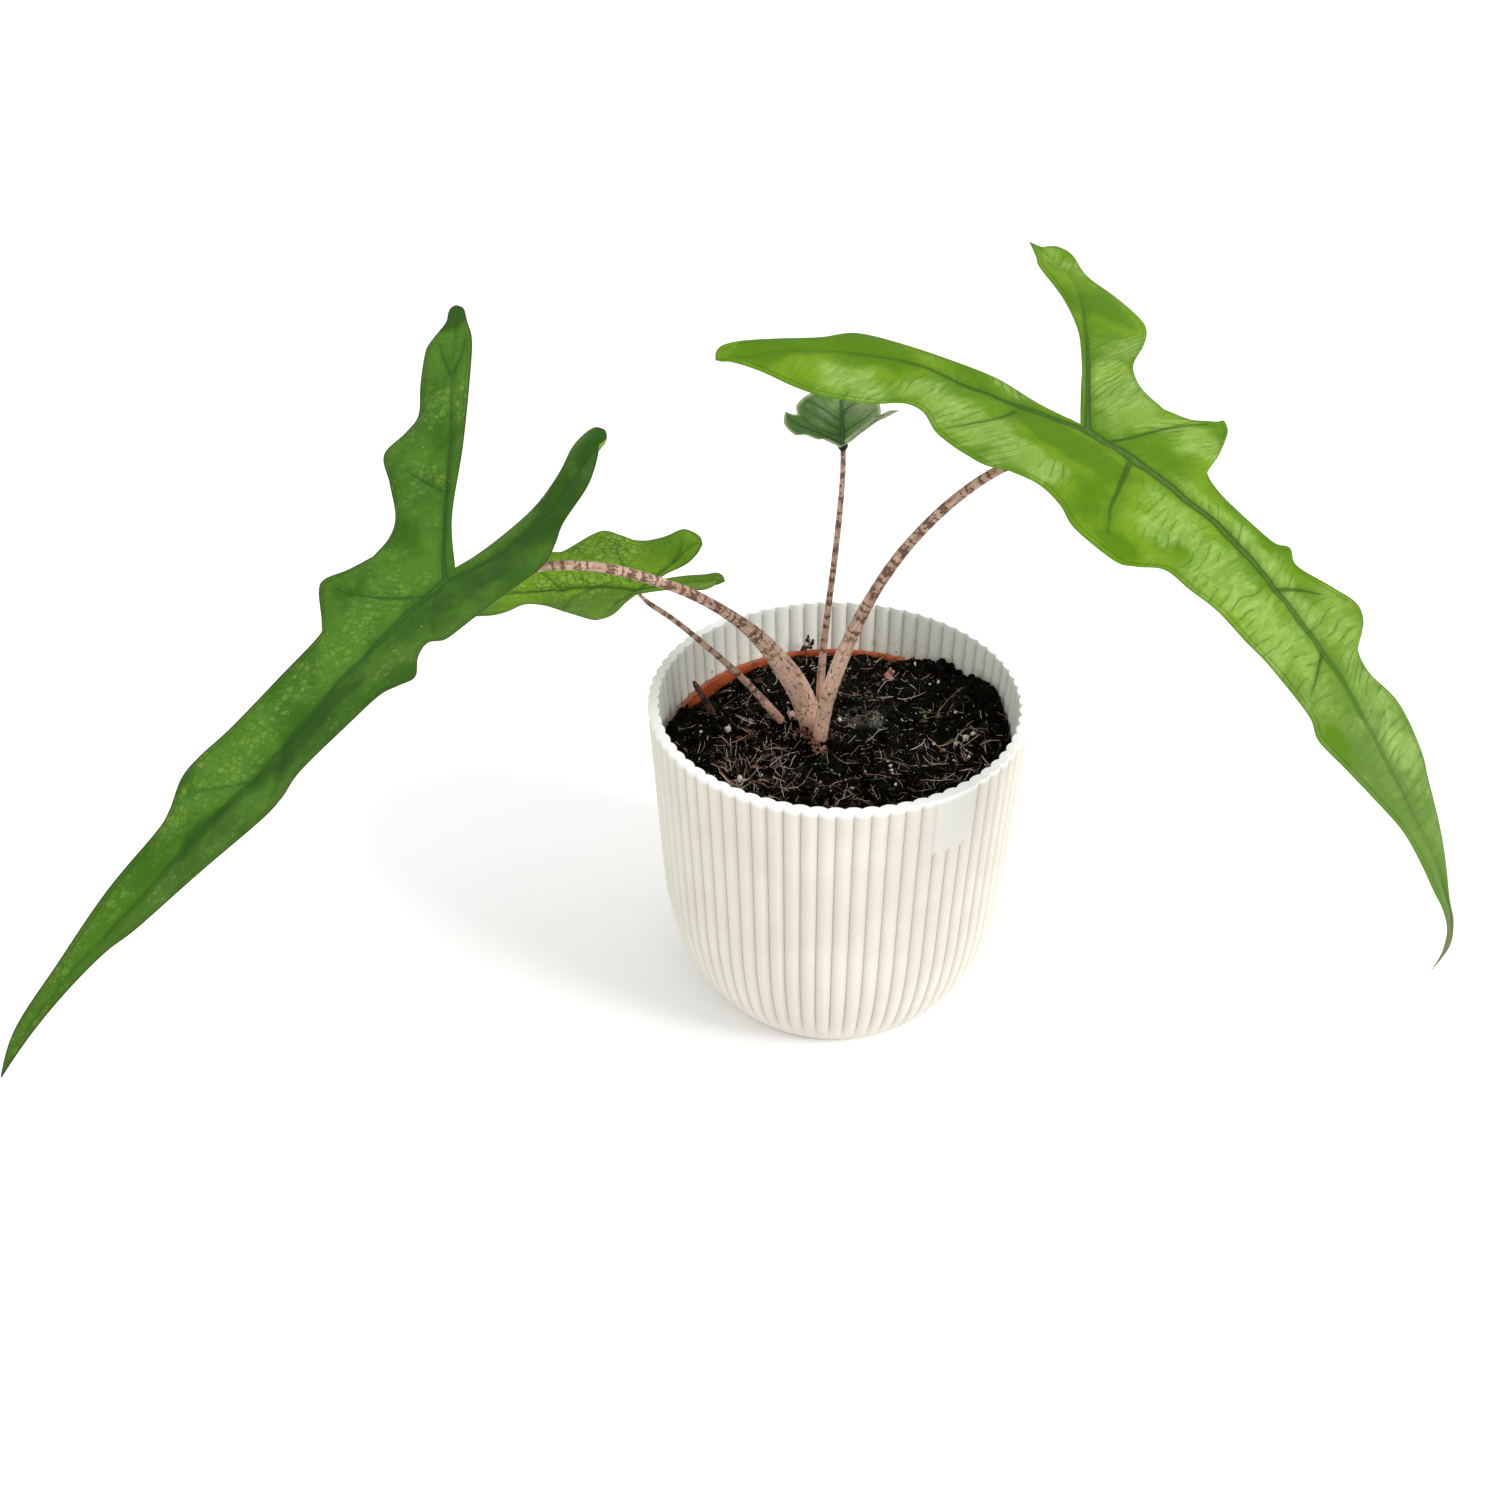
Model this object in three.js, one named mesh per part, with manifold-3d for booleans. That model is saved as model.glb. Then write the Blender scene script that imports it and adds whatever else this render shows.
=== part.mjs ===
// Potted alocasia: two large and two small lobed leaves on banded stalks, growing from a corm in
// potting soil, in a thin nursery pot that stands inside a fluted cover pot.
// Millimetres, +Z up. The origin is the centre of the cover pot's flat base, and -Y is the front.

import * as THREE from 'three';
import { mergeVertices } from 'three/addons/utils/BufferGeometryUtils.js';
import Module from 'manifold-3d';

const wasm = await Module();
wasm.setup();

// Driving dimensions
const FIT = 0.35; // clearance between pieces that touch on the real plant
const SLIVER = 0.04; // shorter edges that a cut leaves on a stalk are closed up
const DEG = Math.PI / 180;

const COVER = {
  flutes: 72,
  firstValley: -3.18 * DEG, // round from the front, towards +X
  fluteDepth: 1.1,
  wall: 3.1,
  floor: 3.5,
  // radius and height up the outside, over the flutes' crests
  outside: [[46.5, 0], [53.5, 8], [60, 20], [64, 35], [66, 50], [69.5, 129]],
  insideFrom: 3, // the inside starts beside this point of the outside
};
const PLATE = { centre: 33 * DEG, width: 14 * DEG, height: 24, depth: 2.4 };

const NURSERY = {
  sides: 48,
  standsAt: COVER.floor + FIT,
  top: 109,
  baseRadius: 43,
  shoulderRadius: 60.6, // outside, just under the rim
  rimRadius: 63.3,
  rimHeight: 7,
  rimWall: 1.8,
  wall: 1.4,
  drainHoles: 6,
  drainRadius: 4,
  drainCircle: 30,
};

const SOIL = {
  level: 106.5,
  lipRadius: 63.7, // where it has spread over the nursery pot's rim
  lipLevel: 110.9,
  dip: 2.6, // at the back, where the rim shows
  // Angles are counter-clockwise from +X
  bareFrom: 68 * DEG, // the stretch of rim that shows
  bareTo: 148 * DEG,
  ramp: 26 * DEG,
  mounds: [[20, 6], [46, 2], [174, 3]].map(([angle, rise]) => ({ angle: angle * DEG, rise })),
  moundWidth: 12 * DEG,
};

const CORM = {
  x: -7,
  y: 8,
  top: 105.2,
  radius: 12.2,
  bottom: 80,
  sides: 14,
  roots: 7,
  rootLength: 30,
  rootDepth: 44,
  rootRadius: 1.6,
  rootTip: 0.7,
};
const STALK_FOOT = CORM.top + FIT;
const BLADE = 0.9; // leaf thickness

// Leaves. Along and across are millimetres on the blade, from the place where the stalk joins it.
// Across is positive to the left of somebody who looks along the blade with its upper side up.
// droop is the rib's pitch in degrees at distances along it, fold the rise of the two halves from
// the rib, curl their fall towards the margin, and lift the rise of the right and left lobes.
const LEAVES = {
  large_right: {
    junction: [73.7, -25, 245.7],
    heading: -50,
    droop: [[0, -8], [50, -22], [105, -36], [160, -54], [210, -84]],
    roll: 0, fold: 0.04, curl: 0.0008, lift: [0.05, 0.1],
    ribDepth: 2.0, veins: 9, pleat: 1.6, rows: 28, lobeRows: 10,
    rib: [[0, 0], [40, 2], [80, 3], [124, 1], [160, 3], [195, 8], [205, -2]],
    left: {
      margin: [[5, 31], [13, 34], [18, 42], [21, 45], [24, 42], [28, 34], [34, 18], [45, 14], [64, 15],
        [69, 19], [75, 16], [86, 22], [94, 26], [100, 23], [105, 15], [113, 13], [125, 17],
        [141, 16], [152, 13], [181, 8], [193, 9], [201, 7], [205, -2]],
      lobe: [[5, 31], [-6, 34], [-13, 38], [-19, 44], [-25, 56], [-31, 65], [-38, 70], [-52, 73],
        [-67, 74], [-80, 81], [-88, 80], [-93, 71]],
      sinus: [[-4, 1], [-18, 17], [-33, 33], [-44, 43], [-60, 53], [-80, 61], [-93, 71]],
      lobeRib: [[0, 0], [-29, 32], [-44, 47], [-58, 60], [-75, 70], [-93, 71]],
    },
    right: {
      margin: [[2, -38], [12, -34], [24, -36], [35, -40], [47, -39], [50, -37], [56, -27], [66, -25],
        [80, -21], [92, -18], [113, -17], [124, -20], [138, -13], [159, -3], [180, 3], [193, 6],
        [202, 3], [205, -2]],
      lobe: [[2, -38], [-7, -42], [-24, -41], [-38, -36], [-49, -44], [-56, -54], [-64, -61],
        [-83, -66], [-96, -72]],
      sinus: [[-4, 1], [-20, -2], [-36, -3], [-50, -8], [-68, -17], [-80, -26], [-84, -38],
        [-92, -52], [-96, -72]],
      lobeRib: [[0, 0], [-29, -12], [-53, -20], [-66, -30], [-80, -46], [-96, -72]],
    },
  },
  large_left: {
    junction: [-133.6, -20, 190.7],
    heading: -130,
    droop: [[0, -14], [50, -23], [105, -21], [155, -27], [207, -47]],
    roll: 6, fold: 0.2, curl: 0.0008, lift: [0.3, 0.4],
    ribDepth: 2.0, veins: 9, pleat: 1.4, rows: 28, lobeRows: 10,
    rib: [[0, 0], [60, 1], [113, 2], [157, 0], [193, -4], [208, -4]],
    left: {
      margin: [[4, 33], [17, 31], [24, 29], [27, 23], [33, 25], [40, 32], [45, 28], [50, 24],
        [62, 22], [83, 20], [94, 23], [104, 23], [125, 18], [148, 12], [161, 6], [184, 0],
        [208, -4]],
      lobe: [[4, 33], [-4, 35], [-14, 39], [-22, 37], [-30, 34], [-43, 34], [-53, 32], [-62, 29]],
      sinus: [[-6, -1], [-20, 8], [-34, 15], [-47, 16], [-58, 15], [-65, 19], [-62, 29]],
      lobeRib: [[0, 0], [-10, 10], [-24, 21], [-36, 25], [-48, 26], [-62, 29]],
    },
    right: {
      margin: [[5, -30], [14, -33], [21, -37], [26, -35], [36, -23], [41, -20], [60, -20],
        [82, -20], [95, -21], [104, -20], [115, -14], [123, -12], [144, -11], [170, -8],
        [194, -8], [208, -4]],
      lobe: [[5, -30], [-5, -32], [-13, -37], [-23, -49], [-32, -60], [-43, -59], [-51, -60],
        [-62, -69], [-74, -78], [-86, -80], [-97, -80]],
      sinus: [[-6, -1], [-22, -17], [-48, -34], [-73, -52], [-88, -65], [-97, -80]],
      lobeRib: [[0, 0], [-13, -13], [-42, -36], [-69, -58], [-85, -71], [-97, -80]],
    },
  },
  small_left: {
    junction: [-72.1, 15, 165.4],
    heading: 180,
    droop: [[0, -4], [40, -8], [80, -14]],
    roll: 5, fold: 0.22, curl: 0.001, lift: [0, 0.1],
    ribDepth: 0.9, veins: 5, pleat: 1.2, rows: 18, lobeRows: 6,
    rib: [[0, 0], [14, -4], [26, -5], [50, -6], [76, -3]],
    left: {
      margin: [[0, 4], [3, 14], [6, 27], [10, 32], [14, 31], [25, 18], [32, 9], [38, 4], [42, 4],
        [46, 10], [51, 12], [59, 9], [68, 5], [76, -3]],
      lobe: [[0, 4], [-5, 3], [-12, 3], [-19, 6], [-25, 7], [-30, 5], [-32, 1]],
      sinus: [[-4, -3], [-9, -5], [-17, -6], [-24, -6], [-30, -4], [-32, 1]],
      lobeRib: [[0, 0], [-8, -1], [-15, 0], [-22, 1], [-28, 1], [-32, 1]],
    },
    right: {
      margin: [[3, -32], [8, -36], [14, -40], [19, -38], [29, -29], [34, -29], [46, -25],
        [60, -15], [76, -3]],
      lobe: [[3, -32], [-2, -31], [-9, -33], [-15, -37], [-19, -35], [-22, -31], [-23, -26]],
      sinus: [[-4, -3], [-10, -9], [-17, -14], [-21, -20], [-23, -26]],
      lobeRib: [[0, 0], [-8, -10], [-15, -20], [-20, -26], [-23, -26]],
    },
  },
  young_centre: {
    junction: [-0.1, 16, 222.1],
    heading: 90,
    droop: [[0, 25], [20, 20], [40, 0]],
    roll: 0, fold: 0.8, curl: 0.008, lift: [0, 0],
    ribDepth: 0.8, veins: 3, pleat: 0.7, rows: 12, lobeRows: 5,
    rib: [[0, 0], [20, 0], [40, 0]],
    left: {
      margin: [[5.5, 15.5], [9, 15.8], [13.6, 13.5], [17.5, 10.8], [24, 8.5], [32, 4.5], [40, 0]],
      lobe: [[5.5, 15.5], [4.8, 17], [5, 19.7]],
      sinus: [[-2, 1], [-0.5, 5.5], [-2, 9], [-2, 13], [-3.5, 16.5], [-0.4, 20], [5, 19.7]],
      lobeRib: [[0, 0], [1, 8], [1, 14], [2, 18], [5, 19.7]],
    },
    right: {
      margin: [[5.9, -12.7], [9.5, -12.8], [14, -12.1], [20, -10.5], [27, -8], [34, -4.5], [40, 0]],
      lobe: [[5.9, -12.7], [6.8, -15.5], [5.5, -18.7]],
      sinus: [[-2, 1], [0, -2], [2.3, -5.8], [4, -10.8], [4.4, -14.4], [5.5, -18.7]],
      lobeRib: [[0, 0], [3, -5], [5, -10.5], [5.6, -14.4], [5.5, -18.7]],
    },
  },
};
const BLADE_COLUMNS = [0, 0.1, 0.38, 0.72, 1]; // from the rib to the margin

// Stalks: the points that each passes through, its half widths seen from the front and from the
// side at the foot, where the sheath ends, and at the blade. The last point is the leaf's junction.
const STALKS = {
  large_left: {
    path: [[-7.5, 9.5, 100], [-8.8, 9, 108], [-13.2, 8, 124], [-19.7, 6, 138], [-31.2, 3, 155],
      [-49.7, -3, 173], [-66.1, -8, 183.5], [-82.3, -13, 191], [-99.2, -17, 194],
      [-115, -19, 191]],
    foot: [4.5, 3.4], sheath: [4.5, 3.4], waist: [1.9, 1.8], neck: [1.45, 1.45], sheathEnd: 0.14,
    waistAt: 0.46, steps: 26,
  },
  large_right: {
    path: [[-7.1, 0.5, 100], [-6.5, 0, 110], [-4.1, -1, 128.5], [1.9, -3, 151.5], [9.6, -6, 173.5],
      [19.9, -10, 195], [33.9, -15, 215.5], [48.2, -19, 229.5], [61, -22, 236.5]],
    foot: [2.8, 2.6], sheath: [2.8, 2.6], waist: [1.95, 1.9], neck: [1.4, 1.4], sheathEnd: 0.25,
    waistAt: 0.48, steps: 26,
  },
  small_left: {
    path: [[-14, 11.5, 100], [-19, 13, 107], [-27.7, 13, 119], [-36.9, 14, 130], [-47.1, 14, 141],
      [-59.9, 15, 153], [-69, 15, 160.4]],
    foot: [1.8, 1.6], sheath: [1.7, 1.5], waist: [1.2, 1.15], neck: [0.9, 0.9], sheathEnd: 0.1,
    waistAt: 0.5, steps: 16,
  },
  young_centre: {
    path: [[-5, 18, 100], [-5.2, 18, 109], [-5.7, 18, 120], [-5, 18, 137], [-3.6, 18, 155],
      [-1.2, 17, 184], [0.2, 17, 208], [0.1, 16.2, 218]],
    foot: [1.8, 1.7], sheath: [1.6, 1.5], waist: [1.2, 1.2], neck: [0.9, 0.9], sheathEnd: 0.1,
    waistAt: 0.45, steps: 18,
  },
};
const STALK_SIDES = 10;
const STUB = { path: [[-43.4, 15.5, 96], [-46, 16, 109], [-53.2, 17, 124.5]], foot: 1.6, top: 1.1 };

const COLOURS = {
  coverPot: { color: 0xe9e6dc, roughness: 0.55, metalness: 0 },
  nurseryPot: { color: 0xb0502c, roughness: 0.6, metalness: 0 },
  soil: { color: 0x1f1c18, roughness: 0.95, metalness: 0 },
  corm: { color: 0x5a3524, roughness: 0.9, metalness: 0 },
  stalk: { color: 0xb98f80, roughness: 0.6, metalness: 0 },
  stub: { color: 0x3a2218, roughness: 0.9, metalness: 0 },
  large_right: { color: 0x6da52f, roughness: 0.4, metalness: 0 },
  large_left: { color: 0x2c6a26, roughness: 0.4, metalness: 0 },
  small_left: { color: 0x67992f, roughness: 0.45, metalness: 0 },
  young_centre: { color: 0x64884c, roughness: 0.5, metalness: 0 },
};

const group = new THREE.Group();

// Geometry helpers

const vector = ([x, y, z]) => new THREE.Vector3(x, y, z);
const mix = THREE.MathUtils.lerp;
const easeIn = THREE.MathUtils.smoothstep;

/** Merges the vertices that lie together, and drops the triangles that close up by it. */
function weld(geometry, within = 1e-3) {
  geometry.deleteAttribute('normal');
  geometry.deleteAttribute('uv');
  const merged = mergeVertices(geometry, within);
  const { array } = merged.index;
  const kept = [];
  for (let i = 0; i < array.length; i += 3) {
    const [a, b, c] = array.slice(i, i + 3);
    if (a !== b && b !== c && c !== a) kept.push(a, b, c);
  }
  merged.setIndex(kept);
  return merged;
}

/** Turns the faces of a closed mesh outwards. */
function faceOutwards(geometry) {
  const points = geometry.attributes.position;
  const index = Array.from(geometry.index.array);
  const [a, b, c] = [new THREE.Vector3(), new THREE.Vector3(), new THREE.Vector3()];
  let volume = 0;
  for (let i = 0; i < index.length; i += 3) {
    a.fromBufferAttribute(points, index[i]);
    b.fromBufferAttribute(points, index[i + 1]);
    c.fromBufferAttribute(points, index[i + 2]);
    volume += a.dot(b.cross(c));
  }
  if (volume < 0) geometry.setIndex(index.reverse());
  return geometry;
}

function indexedGeometry(points, index) {
  const geometry = new THREE.BufferGeometry();
  const flat = points.flatMap((point) => point.toArray());
  geometry.setAttribute('position', new THREE.Float32BufferAttribute(flat, 3));
  geometry.setIndex(index);
  return geometry;
}

/** A closed skin through rings of equal length, with a fan over the first and the last ring. */
function loft(rings) {
  const sides = rings[0].length;
  const points = rings.flat();
  const index = [];
  for (let r = 0; r + 1 < rings.length; r += 1) {
    for (let i = 0; i < sides; i += 1) {
      const [a, b] = [r * sides + i, r * sides + ((i + 1) % sides)];
      index.push(a, b, b + sides, a, b + sides, a + sides);
    }
  }
  const lastRing = (rings.length - 1) * sides;
  const centre = (ring) => ring.reduce((sum, p) => sum.add(p), new THREE.Vector3())
    .divideScalar(sides);
  points.push(centre(rings[0]), centre(rings[rings.length - 1]));
  for (let i = 0; i < sides; i += 1) {
    const next = (i + 1) % sides;
    index.push(points.length - 2, next, i);
    index.push(points.length - 1, lastRing + i, lastRing + next);
  }
  return faceOutwards(indexedGeometry(points, index));
}

/** A ring about the Z axis. radius and height are numbers or functions of the angle from +X. */
function ringAt(sides, radius, height, phase = 0) {
  return Array.from({ length: sides }, (_, i) => {
    const angle = phase + (i / sides) * 2 * Math.PI;
    const r = typeof radius === 'function' ? radius(angle, i) : radius;
    const z = typeof height === 'function' ? height(angle, i) : height;
    return new THREE.Vector3(r * Math.cos(angle), r * Math.sin(angle), z);
  });
}

function solid(geometry) {
  const welded = weld(geometry);
  return new wasm.Manifold(new wasm.Mesh({
    numProp: 3,
    vertProperties: Float32Array.from(welded.attributes.position.array),
    triVerts: Uint32Array.from(welded.index.array),
  }));
}

function geometryOf(manifold) {
  const { vertProperties, triVerts } = manifold.getMesh();
  const geometry = new THREE.BufferGeometry();
  geometry.setAttribute('position', new THREE.BufferAttribute(vertProperties, 3));
  geometry.setIndex(Array.from(triVerts));
  return geometry;
}

/** The largest body of a solid that a cut may have left in pieces. */
function largest(manifold) {
  return manifold.decompose().reduce((a, b) => (a.volume() > b.volume() ? a : b));
}

function addPiece(name, geometry, look) {
  const mesh = new THREE.Mesh(geometry, new THREE.MeshStandardMaterial(look));
  mesh.name = name;
  group.add(mesh);
}

// Pots

/** The outside's radius at a height, over the crests. */
function coverRadius(z) {
  const line = COVER.outside;
  const above = line.findIndex(([, height]) => height >= z);
  if (above <= 0) return line[0][0];
  const [[r0, z0], [r1, z1]] = [line[above - 1], line[above]];
  return mix(r0, r1, (z - z0) / (z1 - z0));
}

/** The fluted wall has three columns a flute: one in the valley and two on the crest. */
function coverPot() {
  const columns = COVER.flutes * 3;
  const phase = COVER.firstValley - Math.PI / 2;
  const depthAt = (z) => COVER.fluteDepth * easeIn(z, 0, 20);
  const outer = ([r, z]) => ringAt(columns, (_, i) => r - (i % 3 ? 0 : depthAt(z)), z, phase);
  const inner = ([r, z]) => ringAt(
    columns,
    (_, i) => r - COVER.wall - (i % 3 ? 0 : depthAt(z)),
    z,
    phase,
  );
  const top = COVER.outside[COVER.outside.length - 1];
  const corner = ringAt(columns, COVER.outside[1][0] - COVER.wall - 2, COVER.floor, phase);
  const insides = COVER.outside.slice(COVER.insideFrom - 1, -1).reverse();
  return loft([
    ...COVER.outside.map(outer),
    inner(top),
    ...insides.map(inner),
    corner,
  ]);
}

/** The bare plate lies level with the crests, from the rim down over three flutes. */
function coverPlate() {
  const top = COVER.outside[COVER.outside.length - 1][1] - 0.2;
  const corner = 4;
  const levels = [top, top - PLATE.height + corner, top - PLATE.height];
  const steps = 8;
  const rings = levels.map((z, row) => {
    const spread = row === 2 ? PLATE.width - corner / coverRadius(z) : PLATE.width;
    const arc = (radius) => Array.from({ length: steps + 1 }, (_, i) => {
      const angle = PLATE.centre + spread * (i / steps - 0.5);
      return new THREE.Vector3(radius * Math.sin(angle), -radius * Math.cos(angle), z);
    });
    return [...arc(coverRadius(z) + 0.05), ...arc(coverRadius(z) - PLATE.depth).reverse()];
  });
  return loft(rings);
}

/** A thin tapered pot with a rolled rim and drain holes round its floor. */
function nurseryPot() {
  const { standsAt: z0, top, wall, baseRadius: rb, shoulderRadius: rs, rimRadius: rr } = NURSERY;
  const under = top - NURSERY.rimHeight;
  const profile = [
    [0, z0], [rb - 2, z0], [rb, z0 + 2], [rs, under], [rr - 0.6, under], [rr, under + 0.8],
    [rr, top - 0.9], [rr - 0.9, top], [rr - NURSERY.rimWall, top], [rs - wall, under - 1],
    [rb - wall, z0 + 3], [rb - wall - 2, z0 + wall], [0, z0 + wall],
  ].map(([r, z]) => new THREE.Vector2(r, z));
  const body = new THREE.LatheGeometry(profile, NURSERY.sides).rotateX(Math.PI / 2);
  let pot = solid(faceOutwards(weld(body)));
  for (let i = 0; i < NURSERY.drainHoles; i += 1) {
    const angle = (i / NURSERY.drainHoles) * 2 * Math.PI;
    const hole = new THREE.CylinderGeometry(NURSERY.drainRadius, NURSERY.drainRadius, 10, 12)
      .rotateX(Math.PI / 2)
      .translate(
        NURSERY.drainCircle * Math.cos(angle),
        NURSERY.drainCircle * Math.sin(angle),
        NURSERY.standsAt,
      );
    pot = pot.subtract(solid(hole));
  }
  return pot;
}

// Soil and corm

/** 0 where the nursery pot's rim shows at the back, and 1 where the soil has spread over it. */
function spread(angle) {
  const turned = THREE.MathUtils.euclideanModulo(angle, 2 * Math.PI);
  const entering = easeIn(turned, SOIL.bareFrom - SOIL.ramp, SOIL.bareFrom);
  const leaving = easeIn(turned, SOIL.bareTo, SOIL.bareTo + SOIL.ramp);
  return 1 - entering + leaving;
}

/** The rise of the heaps against the cover pot's wall. */
function mound(angle) {
  return SOIL.mounds.reduce((sum, heap) => {
    const apart = Math.abs(THREE.MathUtils.euclideanModulo(angle, 2 * Math.PI) - heap.angle);
    const nearest = Math.min(apart, 2 * Math.PI - apart);
    return sum + heap.rise * Math.exp(-((nearest / SOIL.moundWidth) ** 2));
  }, 0);
}

/** The crumbs and hollows of the surface. */
function lumps(x, y) {
  return 0.9 * Math.sin(x * 0.21 + 1.3) * Math.cos(y * 0.17 - 0.4)
    + 0.6 * Math.sin(x * 0.43 - y * 0.31 + 0.7)
    + 0.4 * Math.cos(x * 0.11 + y * 0.61);
}

/** The nursery pot's inner radius at a height. */
function nurseryInside(z) {
  const { standsAt, wall, baseRadius, shoulderRadius, rimRadius, rimHeight, rimWall, top } = NURSERY;
  const [low, shoulder] = [standsAt + 3, top - rimHeight - 1];
  if (z < shoulder) {
    return mix(baseRadius - wall, shoulderRadius - wall, (z - low) / (shoulder - low));
  }
  return mix(shoulderRadius - wall, rimRadius - rimWall, (z - shoulder) / (top - shoulder));
}

function soilBody() {
  const { sides, standsAt, wall, top } = NURSERY;
  const bareRadius = (z) => nurseryInside(Math.min(z, top)) - FIT - 0.1;
  // Going round towards the covered stretch, the edge first rises and then reaches over the rim
  const raise = (angle) => Math.min(1, spread(angle) / 0.3);
  const reach = (angle) => Math.max(0, (spread(angle) - 0.8) / 0.2);
  const lip = (angle) => SOIL.lipLevel + mound(angle);
  const edgeLevel = (angle) => mix(SOIL.level - SOIL.dip, lip(angle), raise(angle));
  const lipUnder = (angle) => Math.min(edgeLevel(angle) - 1, top + FIT);
  const lowLip = (angle) => Math.min(lipUnder(angle) - 0.5, top - 0.6);
  const edgeRadius = (angle) => mix(bareRadius(lipUnder(angle)), SOIL.lipRadius, reach(angle));
  const shoulder = top - NURSERY.rimHeight - 1.4;
  const foot = standsAt + wall + FIT;
  const rings = [
    ringAt(sides, bareRadius(foot) - 2.4, foot),
    ringAt(sides, bareRadius(foot + 2), foot + 2),
    ringAt(sides, bareRadius(shoulder), shoulder),
    ringAt(sides, (angle) => bareRadius(lowLip(angle)), lowLip),
    ringAt(sides, (angle) => bareRadius(lipUnder(angle)), lipUnder),
    ringAt(sides, edgeRadius, (angle) => lipUnder(angle) + 0.2 * reach(angle)),
    ringAt(sides, edgeRadius, edgeLevel),
  ];
  for (const share of [0.95, 0.86, 0.74, 0.6, 0.46, 0.32, 0.18, 0.07]) {
    const radius = (angle) => share * edgeRadius(angle);
    rings.push(ringAt(sides, radius, (angle) => {
      const [x, y] = [radius(angle) * Math.cos(angle), radius(angle) * Math.sin(angle)];
      const shelf = easeIn(share, 0.55, 1);
      return mix(SOIL.level, edgeLevel(angle), shelf) + lumps(x, y) * (1 - 0.6 * shelf);
    }));
  }
  return solid(loft(rings));
}

/** The corm with its roots. With extra it is the room that it takes up in the soil. */
function corm(extra = 0) {
  const { radius, bottom, sides, roots, rootLength, rootDepth } = CORM;
  const top = extra ? CORM.top + 8 : CORM.top;
  const rings = [
    [0.35, bottom - extra], [0.75, bottom + 4], [1, bottom + 13], [1, CORM.top - 2],
    [extra ? 1 : 0.97, top],
  ].map(([share, z]) => ringAt(sides, share * radius + extra, z));
  let body = solid(loft(rings).translate(CORM.x, CORM.y, 0));
  for (let i = 0; i < roots; i += 1) {
    const angle = (i / roots) * 2 * Math.PI + 0.3 * Math.sin(i * 2.4);
    const point = (out, down) => new THREE.Vector3(
      CORM.x + out * Math.cos(angle + out * 0.01),
      CORM.y + out * Math.sin(angle + out * 0.01),
      bottom + 9 - down,
    );
    const length = rootLength * (0.8 + 0.2 * Math.cos(i * 1.7));
    const curve = new THREE.CatmullRomCurve3([
      point(6, 0),
      point(length * 0.55, rootDepth * 0.18),
      point(length * 0.85, rootDepth * 0.5),
      point(length, rootDepth),
    ]);
    const width = (t) => mix(CORM.rootRadius, CORM.rootTip, t) + extra;
    body = body.add(solid(tube(curve, 8, 6, (t) => [width(t), width(t)])));
  }
  return body;
}

// Stalks

/** A tube along a curve. widths gives its half widths across and fore and aft at 0 to 1. */
function tube(curve, steps, sides, widths) {
  const rings = [];
  for (let s = 0; s <= steps; s += 1) {
    const t = s / steps;
    const centre = curve.getPointAt(t);
    const along = curve.getTangentAt(t);
    const across = new THREE.Vector3().crossVectors(new THREE.Vector3(0, 1, 0), along).normalize();
    const depth = new THREE.Vector3().crossVectors(along, across);
    const [a, b] = widths(t);
    rings.push(Array.from({ length: sides }, (_, i) => {
      const angle = (i / sides) * 2 * Math.PI;
      return centre.clone()
        .addScaledVector(across, a * Math.cos(angle))
        .addScaledVector(depth, b * Math.sin(angle));
    }));
  }
  return loft(rings);
}

/** The stalk's half widths: a sheath at the foot, a waist, and a slim neck under the blade. */
function stalkWidths(stalk, t, extra) {
  const between = (from, to, share) => from.map((w, k) => mix(w, to[k], share) + extra);
  if (t < stalk.sheathEnd) return between(stalk.foot, stalk.sheath, t / stalk.sheathEnd);
  if (t < stalk.waistAt) {
    return between(stalk.sheath, stalk.waist, easeIn(t, stalk.sheathEnd, stalk.waistAt));
  }
  return between(stalk.waist, stalk.neck, (t - stalk.waistAt) / (1 - stalk.waistAt));
}

function stalkSolid(name, extra = 0) {
  const stalk = STALKS[name];
  const end = vector(LEAVES[name].junction).add(new THREE.Vector3(0, 0, -BLADE));
  const curve = new THREE.CatmullRomCurve3([...stalk.path.map(vector), end], false, 'centripetal');
  return solid(tube(curve, stalk.steps, STALK_SIDES, (t) => stalkWidths(stalk, t, extra)));
}

function stubSolid(extra = 0) {
  const curve = new THREE.CatmullRomCurve3(STUB.path.map(vector));
  return solid(tube(curve, 6, 8, (t) => {
    const width = mix(STUB.foot, STUB.top, t) + extra;
    return [width, width * 0.8];
  }));
}

// Leaves

/** The rib seen from the side, a point for each millimetre: distance out, height and pitch. */
function ribProfile(droop) {
  const pitchAt = (u) => {
    const after = Math.max(1, droop.findIndex(([distance]) => distance >= u));
    const [[u0, p0], [u1, p1]] = [droop[after - 1], droop[after]];
    return mix(p0, p1, (u - u0) / (u1 - u0)) * DEG;
  };
  const profile = [{ x: 0, z: 0, pitch: pitchAt(0) }];
  for (let u = 1; u <= droop[droop.length - 1][0]; u += 1) {
    const before = profile[u - 1];
    const pitch = pitchAt(u);
    const mean = (before.pitch + pitch) / 2;
    profile.push({ x: before.x + Math.cos(mean), z: before.z + Math.sin(mean), pitch });
  }
  return profile;
}

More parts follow.
